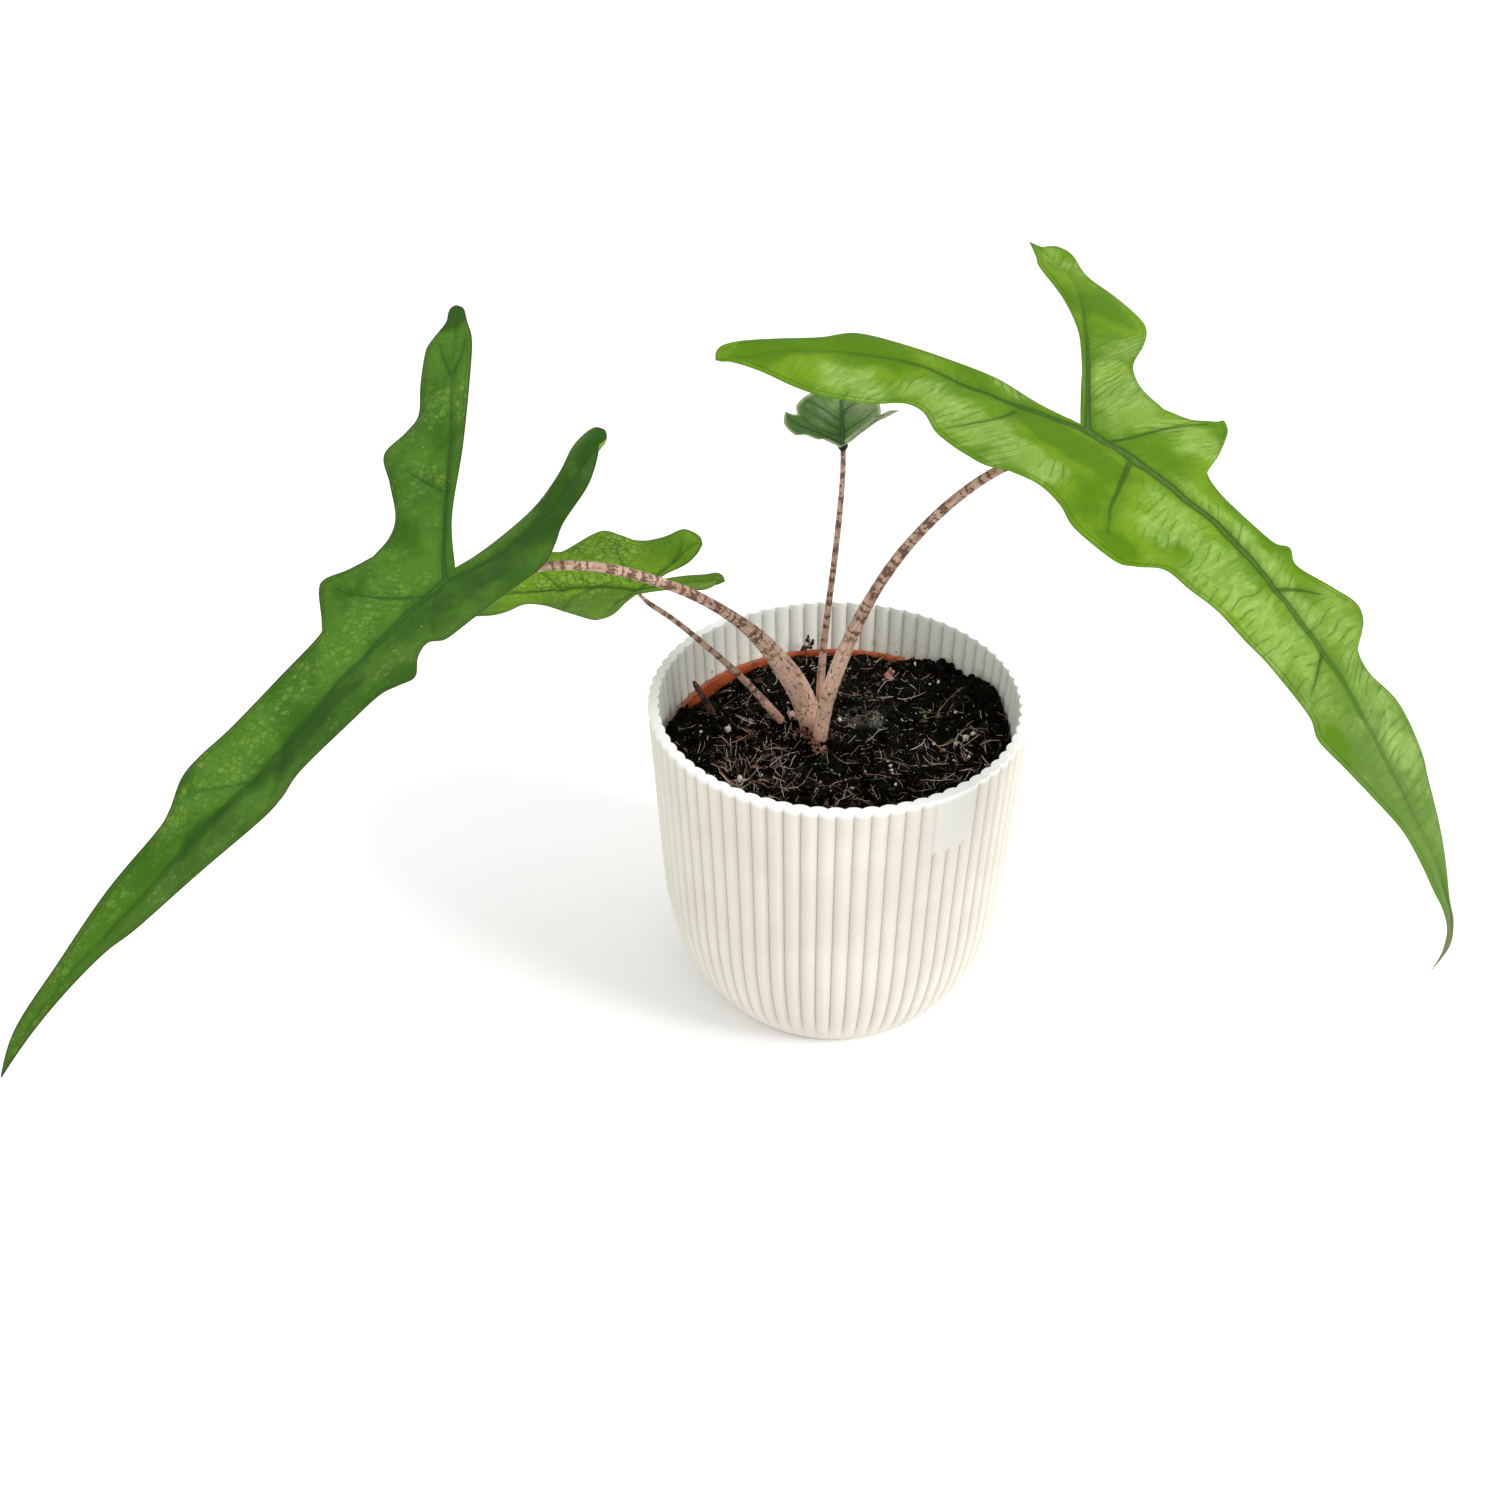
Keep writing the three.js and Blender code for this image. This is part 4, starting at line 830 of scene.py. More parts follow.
def blade_material(name, look):
    """Waxy leaf: clear patches, pale patches of painted sheen and streaks of it along the fine veins, a net,
    ribs and a margin line.
    """
    n = Look(f"{name}_waxy_blade_painted_sheen")
    flat, along, fade, edge = n.vector("blade"), n.value("along"), n.value("fade"), n.value("edge")
    ribs, veins, rib_seen = n.value("ribs"), n.value("veins"), n.value("rib_seen")
    forward, under = n.part(flat, "X"), n.value("under")
    drift = n.shifted(flat, n.wobble(flat, 0.09), 4.0)
    # Above 0 lie the pale patches of painted sheen and, on the dark blade, pale mottling; below 0 the green
    # is clear
    zones = n.value("patch") + (n.cloud(drift, 0.09, 4.0, 0.6) - 0.5) * 2.0

    # Pale streaks of painted sheen, as highlights on the ripples between the fine veins, run with them where
    # the pale patches are
    sweep = n.shifted(n.joined(along, edge * 0.3), n.wobble(flat, 0.12), 1.8)
    sheen_streak = (n.cloud(sweep, 0.75, 3.0, 0.6).band(0.44, 0.66) * 0.42
              + n.cloud(sweep, 0.28, 2.0).band(0.42, 0.6) * 0.38)
    sheen_streak = sheen_streak * zones.band(-0.2, 0.8) * fade

    # Fine veins lie where the count of spacings along the rib is whole
    count = along / look["spacing"] + (n.cloud(flat, 0.06, 1.0) - 0.5) * 2.4
    nearness = n.math("PINGPONG", count, 0.5) * 2.0
    seen = n.cloud(drift, 0.11, 2.0).band(0.4, 0.6) * zones.band(-0.3, 0.5) * 0.9 + 0.1
    line = nearness.band(0.2, 0.0) * fade
    line_seen, beside = line * seen, nearness.band(0.7, 0.1) * fade * seen

    # A net of finer veins, with paler meshes where the patches of painted sheen and pale mottling are
    net = n.cells(drift, look["mesh"], feature="DISTANCE_TO_EDGE")
    threads, mottled = net.band(0.1, 0.0), zones.band(-0.4, 0.7)
    lit = n.part(n.cells(drift, look["mesh"], "Color"), "X").band(0.25, 0.9) * net.band(0.0, 0.22)
    lit = lit * n.cloud(flat, 0.5, 4.0, 0.6).band(0.36, 0.6, 0.3, 1.0) * mottled

    # The ribs, the vein along the margin, and the underside with raised ribs
    rib_colour = n.blend(ribs.band(-0.25, -0.9), look["rib_edge"], look["rib_colour"]).layered(
        (n.cloud(flat, 0.5, 4.0).band(0.4, 0.65, 0.0, 0.5), look["rib_edge"]))
    collector = n.math("ABSOLUTE", edge - 1.9).band(0.4, 0.0) * fade
    below = n.blend(n.math("MAXIMUM", threads, line) * 0.5, look["under"], look["line"]).layered(
        (n.math("MAXIMUM", ribs.band(0.5, -0.1), veins.band(0.5, 0.0)) * 0.6, look["lit"]),
        (n.cloud(drift, 0.12, 4.0, 0.6).band(0.4, 0.65, 0.0, 0.35), look["bright"]))

    colour = n.blend(n.cloud(flat, 0.035).band(0.4, 0.6), look["deep"], look["bright"]).layered(
        (forward.band(look["dull_from"], look["dull_to"], 0.0, 0.75), look["dull"]),
        (zones.band(-0.1, -0.8) * 0.9, look["clear"]),
        # Painted sheen: pale patches and streaks that stand in for reflections off the waxy skin
        (zones.band(0.05, 0.85) * (0.42 * look["painted_sheen"]), look["pale"]),
        (sheen_streak * look["painted_sheen"], look["pale"]),
        (line_seen * look["lines"], look["line"]),
        (beside * (look["lines"] * 0.35), look["line"]),
        (lit * look["spots"], look["lit"]),
        (threads * (mottled * 0.6 + 0.25) * look["net"], look["line"]),
        (n.cells(flat, 0.09).band(0.045, 0.02) * look["spots"], FLECK_COLOUR),
        (veins.band(2.4, 0.2) * 0.22, look["line"]),
        (veins.band(0.4, -0.15) * 0.75, look["rib_edge"]),
        (ribs.band(2.6, 0.0) * rib_seen * 0.35, look["line"]),
        (ribs.band(0.7, -0.3) * rib_seen * 0.92, rib_colour),
        (collector * 0.4, look["line"]),
        (edge.band(1.3, 0.2) * 0.75, look["margin"]))
    if "tail" in look:
        colour = colour.layered((forward.band(*look["tail"], 0.0, 0.7), OLD_TIP_COLOUR))
    colour = colour.layered((under, below))

    relief = line_seen * -0.5 + threads * -0.15 + sheen_streak * 0.4 + n.cloud(flat, 0.9, 4.0) * 0.3 - collector
    rough = n.cloud(flat, 0.25, 4.0).band(0.3, 0.7, look["rough"] - 0.06, look["rough"] + 0.12)
    return n.surface(colour, rough + under * 0.25, n.bump(relief, 0.28, 0.8), specular=0.1,
                     through=n.blend(0.6, colour, look["glow"]))


def make_leaf(name):
    leaf, look = LEAVES[name], BLADE_LOOKS[name]
    curves = blade_curves(leaf)
    flat, faces, knows = blade_sheet(leaf, look, curves)
    along, bulge, edge, fade, share = knows.T
    ribs, veins, seen = rib_gaps(name, curves, look, flat)
    on_ribs, on_veins = np.maximum(ribs, 0), np.maximum(veins, 0)
    inner = ease(edge, 0, 6)
    scale = look["relief"]
    swell = 0.55 * noise(flat, 13, 3) + 0.25 * noise(flat, 5.5, 4)
    raised = leaf["pleat"] * look["pleats"] * bulge + scale * inner * swell
    raised -= 0.75 * scale * bell(on_veins, 2.2 * scale + 0.3) * inner
    raised -= 0.45 * scale * bell(on_ribs, 1.4 * scale + 0.2) * inner
    middle = blade_points(leaf, flat, raised)
    normals = point_normals(middle, faces)
    half = HALF_AT_EDGE + HALF_GAINED * ease(edge, 0, 2.5)
    keel = leaf["rib_depth"] * (1 - 0.8 * ease(share, 0, 1)) * bell(on_ribs, 0.5)
    keel = keel * ease(edge, 0.2, 2.5) + 0.35 * scale * bell(on_veins, 0.5) * inner
    upper = middle + normals * half[:, None]
    lower = middle - normals * (half + keel)[:, None]
    known = {"along": along, "edge": edge, "fade": fade, "ribs": ribs, "veins": veins,
             "rib_seen": seen, "patch": patches(name, flat)}
    values = {key: np.concatenate([field, field]) for key, field in known.items()}
    rolled = UNDER_SHARE_OF_ROLL * ease(-flat[:, 1], *look["rolled"]) if "rolled" in look else 0 * edge
    values["under"] = np.concatenate([rolled, np.ones(len(flat))])
    values["blade"] = np.tile(np.column_stack([flat, np.zeros(len(flat))]), (2, 1))
    make_piece(f"{name}_blade", np.vstack([upper, lower]), thin_shell(faces, len(flat)),
               blade_material(name, look), look["slot"], f"leaf_{name}", values)


# Stalks

def tube_rings(curve, shares, sides, widths):
    """Rings round a curve. widths gives half widths across, and fore and aft, at the shares."""
    centre = evenly(curve, shares)
    tangent = np.gradient(centre, axis=0)
    tangent /= np.linalg.norm(tangent, axis=1)[:, None]
    across = np.cross([0, 1, 0], tangent)
    across /= np.linalg.norm(across, axis=1)[:, None]
    depth = np.cross(tangent, across)
    angle = angles(sides)
    a, b = widths
    return (centre[:, None] + across[:, None] * (a * np.cos(angle))[..., None]
            + depth[:, None] * (b * np.sin(angle))[..., None])


def stalk_widths(stalk, t):
    """Half widths across, and fore and aft, at shares of the length."""
    sheath = np.clip(t / stalk["sheath_end"], 0, 1)
    waist = ease(t, stalk["sheath_end"], stalk["waist_at"])
    neck = np.clip((t - stalk["waist_at"]) / (1 - stalk["waist_at"]), 0, 1)
    found = []
    for k in range(2):
        width = stalk["foot"][k] + (stalk["sheath"][k] - stalk["foot"][k]) * sheath
        width = width + (stalk["waist"][k] - width) * waist
        found.append(width + (stalk["neck"][k] - stalk["waist"][k]) * neck)
    return found


def stalk_material():
    """Pinkish tan, with ragged dark bands across the neck and wiggly flecks along the sheath; the sheath is
    painted lighter and the neck darker, partly for the light and shade on them.
    """
    n = Look("banded_stalk")
    round_it, sheath = n.vector("round_it"), n.value("sheath")
    torn = n.shifted(round_it, n.wobble(round_it, 0.45, 4.0), 2.6)
    count = n.part(torn, "Z") / 4.8 + n.cloud(n.scaled(round_it, 0.0, 0.0, 0.11), 1.0, 1.0) * 3.6
    between = n.math("PINGPONG", count, 0.5) * 2.0
    ragged = (n.cloud(n.scaled(torn, 0.8, 0.8, 0.7), 1.0, 4.0, 0.6) - 0.5) * 3.6
    on_band = (between + ragged).band(0.46, 0.32) * sheath.band(0.8, 0.3)
    on_blotch = n.cloud(torn, 0.5, 4.0, 0.6).band(0.59, 0.64) * sheath.band(0.0, 0.5, 0.3, 0.85)
    bent = n.shifted(round_it, n.wobble(round_it, 0.35), 2.4)
    worm = n.math("ABSOLUTE", n.cloud(n.scaled(bent, 0.42, 0.42, 0.2), 1.0, 1.0) - 0.5)
    in_places = n.cloud(n.shifted(round_it, (9.0, 4.0, 2.0), 1.0), 0.5, 2.0).band(0.48, 0.54)
    on_worm = worm.band(0.024, 0.012) * in_places * sheath.band(0.05, 0.6)
    dark = n.math("MAXIMUM", n.math("MAXIMUM", on_band, on_blotch), on_worm)
    ink = n.blend(n.cloud(round_it, 1.4).band(0.35, 0.65), (60, 34, 24), (118, 74, 56))
    grain = n.cloud(n.scaled(round_it, 1.2, 1.2, 0.18), 1.0, 5.0, 0.65)
    tone = grain.band(0.35, 0.68)
    # Neck and sheath tones: partly their own greyer and pinker skins, partly painted shade on the upper neck
    # and painted light that lifts the shade on the sheath
    colour = n.blend(tone, (158, 122, 104), (206, 174, 156)).layered(
        (sheath.band(0.1, 0.8), n.blend(tone, (226, 176, 153), (255, 219, 200))),
        (n.cloud(round_it, 0.08).band(0.4, 0.65, 0.0, 0.4), (196, 172, 146)),
        (dark * 0.86, ink),
        (n.value("seam") * 0.8, (70, 46, 36)),
        (n.value("foot") * grain.band(0.3, 0.6), (160, 104, 82)),
        (n.value("collar"), (16, 15, 11)))
    return n.surface(colour, grain.band(0.3, 0.7, 0.42, 0.6), n.bump(grain * 0.6 + dark * -0.25, 0.16),
                     specular=0.3)


def make_stalk(name, material):
    """A tube with faint ridges along it, and the edge of the sheath on the thick ones."""
    stalk = STALKS[name]
    end = np.array(LEAVES[name]["junction"]) - [0, 0, BLADE * 0.6 + stalk["drop"]]
    curve = space_curve([*stalk["path"], end])
    length = curve_length(curve)
    t = np.linspace(0, 1, math.ceil(length / RING_SPACING) + 1)
    t = t[t > FIRST_RING / length]
    angle, run = angles(stalk["sides"]), t * length
    a, b = stalk_widths(stalk, t)
    where = np.stack(np.broadcast_arrays(
        np.cos(angle) * a[:, None], np.sin(angle) * b[:, None], run[:, None]), 2)
    shape = where.shape[:2]
    ridges = 0.018 * np.cos(angle * 7 + 0.5) + 0.014 * np.cos(angle * 12 - 1)
    lumps = 0.035 * noise(where.reshape(-1, 3) * [1, 1, 0.5], 2.4, 5).reshape(shape)
    off = off_angle(angle, (2.1 - 2.2 * t)[:, None])  # from the sheath's edge, which winds up the stalk
    sheath = ease(t, stalk["waist_at"], stalk["sheath_end"] * 0.6)[:, None]
    swell = 1 + ridges + lumps + (0.07 * bell(off, 0.13) - 0.05 * bell(off - 0.3, 0.12)) * sheath
    collar = 0 * run
    if name == "young_centre":
        collar = ease(run, length - 2.6, length - 2.0)
        swell = swell * (1 + 0.9 * ease(run, length - 2.4, length - 0.8)[:, None])
    else:
        swell = swell * (1 - 0.4 * ease(run, length - 7, length)[:, None])
    rings = tube_rings(curve, t, stalk["sides"], (a[:, None] * swell, b[:, None] * swell))
    points, faces = skin(rings)
    known = {"seam": bell(off - 0.28, 0.11) * sheath, "sheath": sheath,
             "foot": ease(rings[..., 2], 117, 106), "collar": collar[:, None]}
    values = {}
    for key, field in known.items():
        field = np.broadcast_to(field, shape)
        values[key] = np.concatenate([field.ravel(), [field[0].mean(), field[-1].mean()]])
    values["round_it"] = np.vstack([where.reshape(-1, 3), [0, 0, run[0]], [0, 0, run[-1]]])
    make_piece(f"{name}_stalk", points, faces, material, "stalk", f"stalk_{name}", values)


# Cover pot

def cover_radius(z):
    radii, heights = zip(*COVER_OUTSIDE)
    return np.interp(z, heights, radii)


def smooth_cover_radius(z):
    """The outside's radius over the crests, with the corners of its outline rounded off."""
    reach = min(5.0, z * 0.9, COVER_TOP - z)
    return np.mean([cover_radius(z + reach * s) for s in np.linspace(-1, 1, 9)])


def cover_material():
    """Off-white satin plastic, with painted shade in its grooves, painted light on its inner wall and rim
    top, and a little soiled inside.
    """
    n = Look("satin_pot")
    painted_groove_shade, soiled = n.value("painted_groove_shade"), n.value("soiled")
    colour = n.blend(n.cloud(n.place, 0.03).band(0.35, 0.65), (217, 212, 200), (224, 220, 208)).layered(
        # Painted light: the inner wall is paler than the same plastic outside, to lift the shade inside the
        # pot
        (n.value("inner"), (250, 250, 242)),
        # Painted shade: a soft darkening over the flanks of each flute and a dark line in its valley
        (painted_groove_shade.band(0.05, 0.75, 0.0, 0.3), (186, 180, 166)),
        (painted_groove_shade.band(0.76, 0.98, 0.0, 0.55), (158, 152, 136)),
        (n.value("plate"), (219, 217, 208)),
        # Painted light: the rim top is whiter than the walls, for the light that falls full on it
        (n.value("rim"), (250, 250, 248)),
        (n.cells(n.place, 0.16).band(0.1, 0.05) * soiled, (70, 56, 44)),
        (n.cloud(n.place, 0.22, 5.0).band(0.52, 0.72) * soiled * 0.35, (150, 134, 114)))
    relief = n.cloud(n.place, 2.4) + n.cloud(n.place, 0.25) * 1.5
    return n.surface(colour, n.uneven(0.4, 0.42, 0.56, 4.0), n.bump(relief, 0.03, 0.5), specular=0.3)


def make_cover_pot():
    """Rounded flutes with narrow valleys on both faces of an even wall, a scalloped rim and a bare plate."""
    steps = 12
    columns = FLUTES * steps
    arc = np.abs(2 * (np.arange(columns) % steps / steps) - 1)
    valley = 0.7 * arc**2 + 0.3 * (1 - np.sqrt(1 - 0.93 * arc**2)) / (1 - math.sqrt(1 - 0.93))
    # The inner face bulges in behind each valley of the outer one
    bulge = 1 - np.roll(valley, steps // 2)
    turn = FIRST_VALLEY + angles(columns)
    half_plate = PLATE["width"] / 2
    in_plate = ease(np.abs(turn - PLATE["centre"]), half_plate + 0.1 * DEG, half_plate - 0.5 * DEG)

    def bare_share(z):
        """1 on the bare plate, whose lower edge arches over the crest of each flute."""
        foot = PLATE["bottom"] - 1.7 * np.sqrt(np.clip(1 - arc**2, 0, 1))
        return in_plate * ease(z, foot, foot + 0.6)

    def ring(radius, z, inside=0.0):
        depth = FLUTE_DEPTH * ease(z, 0, 20) * (valley * (1 - inside) + bulge * inside)
        if not inside:
            bare = bare_share(z)
            depth = depth * (1 - bare) - 0.12 * bare
        return round_ring(turn - TURN / 4, radius - depth, z)

    low = [0.6, 1.4, 2.6, 4, 5.6, 7.4, 9.4, 11.6, 14, 17, 20, 23, 26.5, 30, 34, 38, 43, 48, 54]
    high = [62, 71, 80, 89, 96, 101, 102.6, *np.linspace(103, 105.8, 8), 106.4, 108, 112, 118, 124, 126.5]
    within = [126.5, 123, 119, 115, 111, 107, 103, 98, 90, 80, 70, 60, 50, 42, 35, 28, 20, 12, 6.5]
    corner, bends = 0.35, np.linspace(0, math.pi / 2, 5)
    rings = [ring(radius, 0, inside=1.0) for radius in (2, 20, 36, 44, 45.6)]
    rings += [ring(46.2, 0), ring(46.6, 0.15)]
    rings += [ring(smooth_cover_radius(z), z) for z in low + high]
    rings += [ring(COVER_RADIUS - 0.06 - corner * (1 - math.cos(bend)),
                   COVER_TOP - corner + corner * math.sin(bend)) for bend in bends]
    rings.append(ring(COVER_RADIUS - COVER_WALL / 2, COVER_TOP, inside=0.5))
    rings += [ring(COVER_RADIUS - COVER_WALL + corner * (1 - math.sin(bend)),
                   COVER_TOP - corner + corner * math.cos(bend), inside=1.0) for bend in bends]
    rings += [ring(smooth_cover_radius(z) - COVER_WALL, z, inside=1.0) for z in within]
    rings.append(ring(48.6, 4.1, inside=1.0))
    rings += [ring(radius, COVER_FLOOR, inside=1.0) for radius in (47.4, 44, 25, 2)]
    points, faces = skin(np.array(rings))

    out, height = np.hypot(points[:, 0], points[:, 1]), points[:, 2]
    inside = out < cover_radius(height) - 2.0

    def all_round(field):
        """A field of one ring, on every ring and the two ends."""
        return np.concatenate([np.tile(field, len(rings)), [0, 0]])

    plate = np.concatenate([*(bare_share(each[:, 2]) for each in rings), [0, 0]]) * ~inside
    # Where the painted shade of the grooves lies: deep in each valley, fading out near the floor and under
    # the rim top, none on the plate
    painted_groove_shade = all_round(valley) * ~inside + all_round(1 - bulge) * inside
    painted_groove_shade = painted_groove_shade * ease(height, 4, 20) * ease(height, COVER_TOP, COVER_TOP - 1.5) * (1 - plate)
    # inner and rim mark where light is painted: the paler inner wall and the whiter rim top
    values = {"painted_groove_shade": painted_groove_shade, "plate": plate, "inner": inside, "rim": ease(height, 128.3, 128.75),
              "soiled": inside * ease(height, 122, 109) * (height > 100)}
    make_piece("cover_pot_fine", points, faces, cover_material(), "cover_pot", "cover_pot", values,
               crease=42)


# Nursery pot

def nursery_material():
    n = Look("terracotta_plastic")
    blotch = n.cloud(n.place, 0.07, 4.0)
    colour = n.blend(blotch.band(0.35, 0.65), (164, 70, 34), (192, 92, 48)).layered(
        (n.cloud(n.place, 0.35, 5.0).band(0.5, 0.66) * 0.6, (92, 50, 32)))
    return n.surface(colour, blotch.band(0.3, 0.7, 0.48, 0.66), n.bump(n.cloud(n.place, 1.6), 0.06),
                     specular=0.4)


def make_nursery_pot():
    """A thin pot with a rolled rim, its drain holes cut by a boolean that is applied."""
    floor, base, shoulder = NURSERY["stands_at"], NURSERY["base"], NURSERY["shoulder"]
    rim, top, wall = NURSERY["rim"], NURSERY["top"], NURSERY["wall"]
    under, inner_rim = top - NURSERY["rim_height"], rim - NURSERY["rim_wall"]
    profile = [
        (0.5, floor), (20, floor), (base - 3, floor), (base - 1.2, floor + 0.2), (base - 0.3, floor + 0.9),
        (base, floor + 2), ((base + shoulder) / 2, (floor + under) / 2), (shoulder - 0.2, under - 1),
        (shoulder + 0.4, under - 0.1), (rim - 0.8, under), (rim - 0.2, under + 0.3), (rim, under + 0.9),
        (rim, top - 1.2), (rim - 0.12, top - 0.6), (rim - 0.45, top - 0.15), (rim - 0.9, top),
        (rim - 1.4, top - 0.12), (rim - 1.7, top - 0.5), (inner_rim, top - 1.1),
        (inner_rim - 0.1, under + 1.5), (shoulder - wall, under - 1),
        ((base + shoulder) / 2 - wall, (floor + under) / 2),
        (base - wall, floor + 3), (base - wall - 0.6, floor + 1.8), (base - wall - 2, floor + wall),
        (20, floor + wall), (0.5, floor + wall),
    ]
    sides, crease = 160, 35
    points, faces = skin(np.array([round_ring(angles(sides), radius, z) for radius, z in profile]))
    pot = make_piece("nursery_pot_fine", points, faces, nursery_material(), "nursery_pot",
                     "nursery_pot", crease=crease)
    for x, y, z in round_ring(angles(NURSERY["holes"]), NURSERY["hole_circle"], floor) * MM:
        bpy.ops.mesh.primitive_cylinder_add(
            vertices=32, radius=NURSERY["hole"] * MM, depth=10 * MM, location=(x, y, z))
        drill = bpy.context.object
        cut = pot.modifiers.new("hole", "BOOLEAN")
        cut.object, cut.operation, cut.solver = drill, "DIFFERENCE", "EXACT"
        bpy.context.view_layer.objects.active = pot
        bpy.ops.object.modifier_apply(modifier=cut.name)
        bpy.data.objects.remove(drill)
    pot.data.set_sharp_from_angle(angle=crease * DEG)


# Soil

def spread(angle):
    """0 where the nursery pot's rim shows at the back, and 1 where the soil has spread over it."""
    once_round = np.mod(angle, TURN)
    return (1 - ease(once_round, SOIL["bare_from"] - SOIL["ramp"], SOIL["bare_from"])
            + ease(once_round, SOIL["bare_to"], SOIL["bare_to"] + SOIL["ramp"]))


def nursery_inside(z):
    """Inner radius of the nursery pot."""
    wall, top, low = NURSERY["wall"], NURSERY["top"], NURSERY["stands_at"] + 3
    radii = [NURSERY["base"] - wall, NURSERY["shoulder"] - wall, NURSERY["rim"] - NURSERY["rim_wall"]]
    return np.interp(z, [low, top - NURSERY["rim_height"] - 1, top], radii)


def soil_edge(angle):
    """Radius and height of the soil's edge, and how far it has reached over the rim."""
    raise_by = np.minimum(1, spread(angle) / 0.3)
    reach = np.maximum(0, (spread(angle) - 0.8) / 0.2)
    low = SOIL["back_level"] - SOIL["dip"] * bell(off_angle(angle, SOIL["dip_at"]), SOIL["dip_width"])
    lip = SOIL["lip_level"] + sum(
        rise * bell(off_angle(angle, middle), SOIL["mound_width"]) for middle, rise in SOIL["mounds"])
    level = low + (lip - low) * raise_by
    bare = nursery_inside(np.minimum(level - 1, NURSERY["top"])) - SOIL_GAP
    return bare + (SOIL["lip_radius"] + 0.4 - bare) * reach, level, reach


def soil_height(x, y):
    """Height of the soil's surface, with its clods and hollows."""
    angle, out = np.arctan2(y, x), np.hypot(x, y)
    radius, level, _ = soil_edge(angle)
    share = np.minimum(out / radius, 1)
    shelf = ease(share, 0.55, 1)
    lumps = (0.9 * np.sin(x * 0.21 + 1.3) * np.cos(y * 0.17 - 0.4)
             + 0.6 * np.sin(x * 0.43 - y * 0.31 + 0.7) + 0.4 * np.cos(x * 0.11 + y * 0.61))
    z = SOIL["level"] + (level - SOIL["level"]) * shelf + lumps * (1 - 0.6 * shelf)
    for rise, at_x, at_y, wide, deep in SOIL["heaps"]:
        z = z + rise * np.exp(-(x - at_x)**2 / wide - (y - at_y)**2 / deep)
    flat = np.column_stack([x, y])
    rough = (np.abs(noise(flat, 6.5, 1)) + noise(flat, 3.1, 2) + 0.7 * noise(flat, 1.5, 3)
             + 0.5 * noise(flat, 0.8, 4))
    return z + rough * (1 - 0.45 * ease(share, 0.93, 1)) - 0.2


def soil_material():
    """Moist black peat, brown and greyish in places, with a pale bloom of mould on one patch."""
    n = Look("dark_potting_soil")
    clump, grit = n.cloud(n.place, 0.35, 6.0, 0.65), n.cloud(n.place, 1.7, 5.0, 0.75)
    specks = n.cells(n.place, 0.8).band(0.17, 0.08) * (n.cloud(n.place, 0.2).band(0.42, 0.6) * 0.75)
    moss = n.cloud(n.place, 0.1, 4.0).band(0.5, 0.62) * grit.band(0.46, 0.6)
    mould = n.value("mould") * n.cloud(n.place, 1.0, 5.0, 0.7).band(0.36, 0.6)
    colour = n.blend(clump.band(0.4, 0.66), (3, 3, 2), (15, 13, 9)).layered(
        (grit.band(0.58, 0.68), (80, 74, 58)),
        (grit.band(0.46, 0.36), (3, 3, 2)),
        (specks, (150, 132, 112)),
        (moss * 0.6, (54, 60, 42)),
        (mould, (164, 166, 150)))
    return n.surface(colour, grit.band(0.3, 0.7, 0.65, 0.95), n.bump(grit * 1.6 + clump, 1.1), specular=0.05)


def make_soil(material):
    """One closed body that fills the nursery pot, with rings from its floor up and in over the top."""
    angle, rows = angles(460), 125
    radius, level, reach = soil_edge(angle)
    top = NURSERY["top"]
    low = NURSERY["stands_at"] + NURSERY["wall"] + 0.35
    shoulder = top - NURSERY["rim_height"] - 1.4
    lip_under = np.minimum(level - 1, top + 0.35)
    inner = nursery_inside(np.minimum(lip_under, top)) - SOIL_GAP
    rings = [round_ring(angle, out, z) for out, z in (
        (nursery_inside(low) - 2.9, low), (nursery_inside(low + 2) - SOIL_GAP, low + 2),
        (nursery_inside(shoulder) - SOIL_GAP, shoulder), (inner, np.minimum(lip_under - 0.5, top - 0.6)),
        (inner, lip_under), (radius, lip_under + 0.2 * reach))]
    for share in 1 - np.linspace(0, 1, rows + 1)[:-1] * 0.985:
        x, y = share * radius * np.cos(angle), share * radius * np.sin(angle)
        rings.append(np.stack([x, y, soil_height(x, y)], 1))
    points, faces = skin(np.array(rings))
    mould = np.max([bell(np.hypot(points[:, 0] - x, points[:, 1] - y), size)
                    for x, y, size in SOIL["mould"]], axis=0)
    make_piece("soil_surface", points, faces, material, "soil", "soil", {"mould": mould}, crease=75)


# What lies on the soil. All random draws come from one seeded source, in the order of the calls.

SEED = 20
draws = np.random.default_rng(SEED)


def ball(subdivisions):
    """Points and triangles of a ball of radius 1."""
    mesh = bmesh.new()
    bmesh.ops.create_icosphere(mesh, subdivisions=subdivisions, radius=1)
    points = np.array([v.co for v in mesh.verts])
    faces = np.array([[v.index for v in f.verts] for f in mesh.faces])
    mesh.free()
    return points, faces


FINE_BALL, COARSE_BALL = ball(2), ball(1)


def spin(a, b, c):
    turn = Matrix.Rotation(a, 3, "X") @ Matrix.Rotation(b, 3, "Y") @ Matrix.Rotation(c, 3, "Z")
    return np.array(turn)


def lump(points, proportions, roughness):
    """The points of a ball made ragged and turned at random."""
    ragged = 1 + roughness * noise(points * 1.7 + draws.uniform(0, 50, 3), 1.0, 6)
    return points * proportions * ragged[:, None] @ spin(*draws.uniform(0, TURN, 3))


def crumb(heap, centre, size, flatness, roughness, shade, kind=COARSE_BALL):
    points, faces = kind
    heap.add(lump(points, [1, draws.uniform(0.6, 1), flatness], roughness) * size + centre, faces, shade)


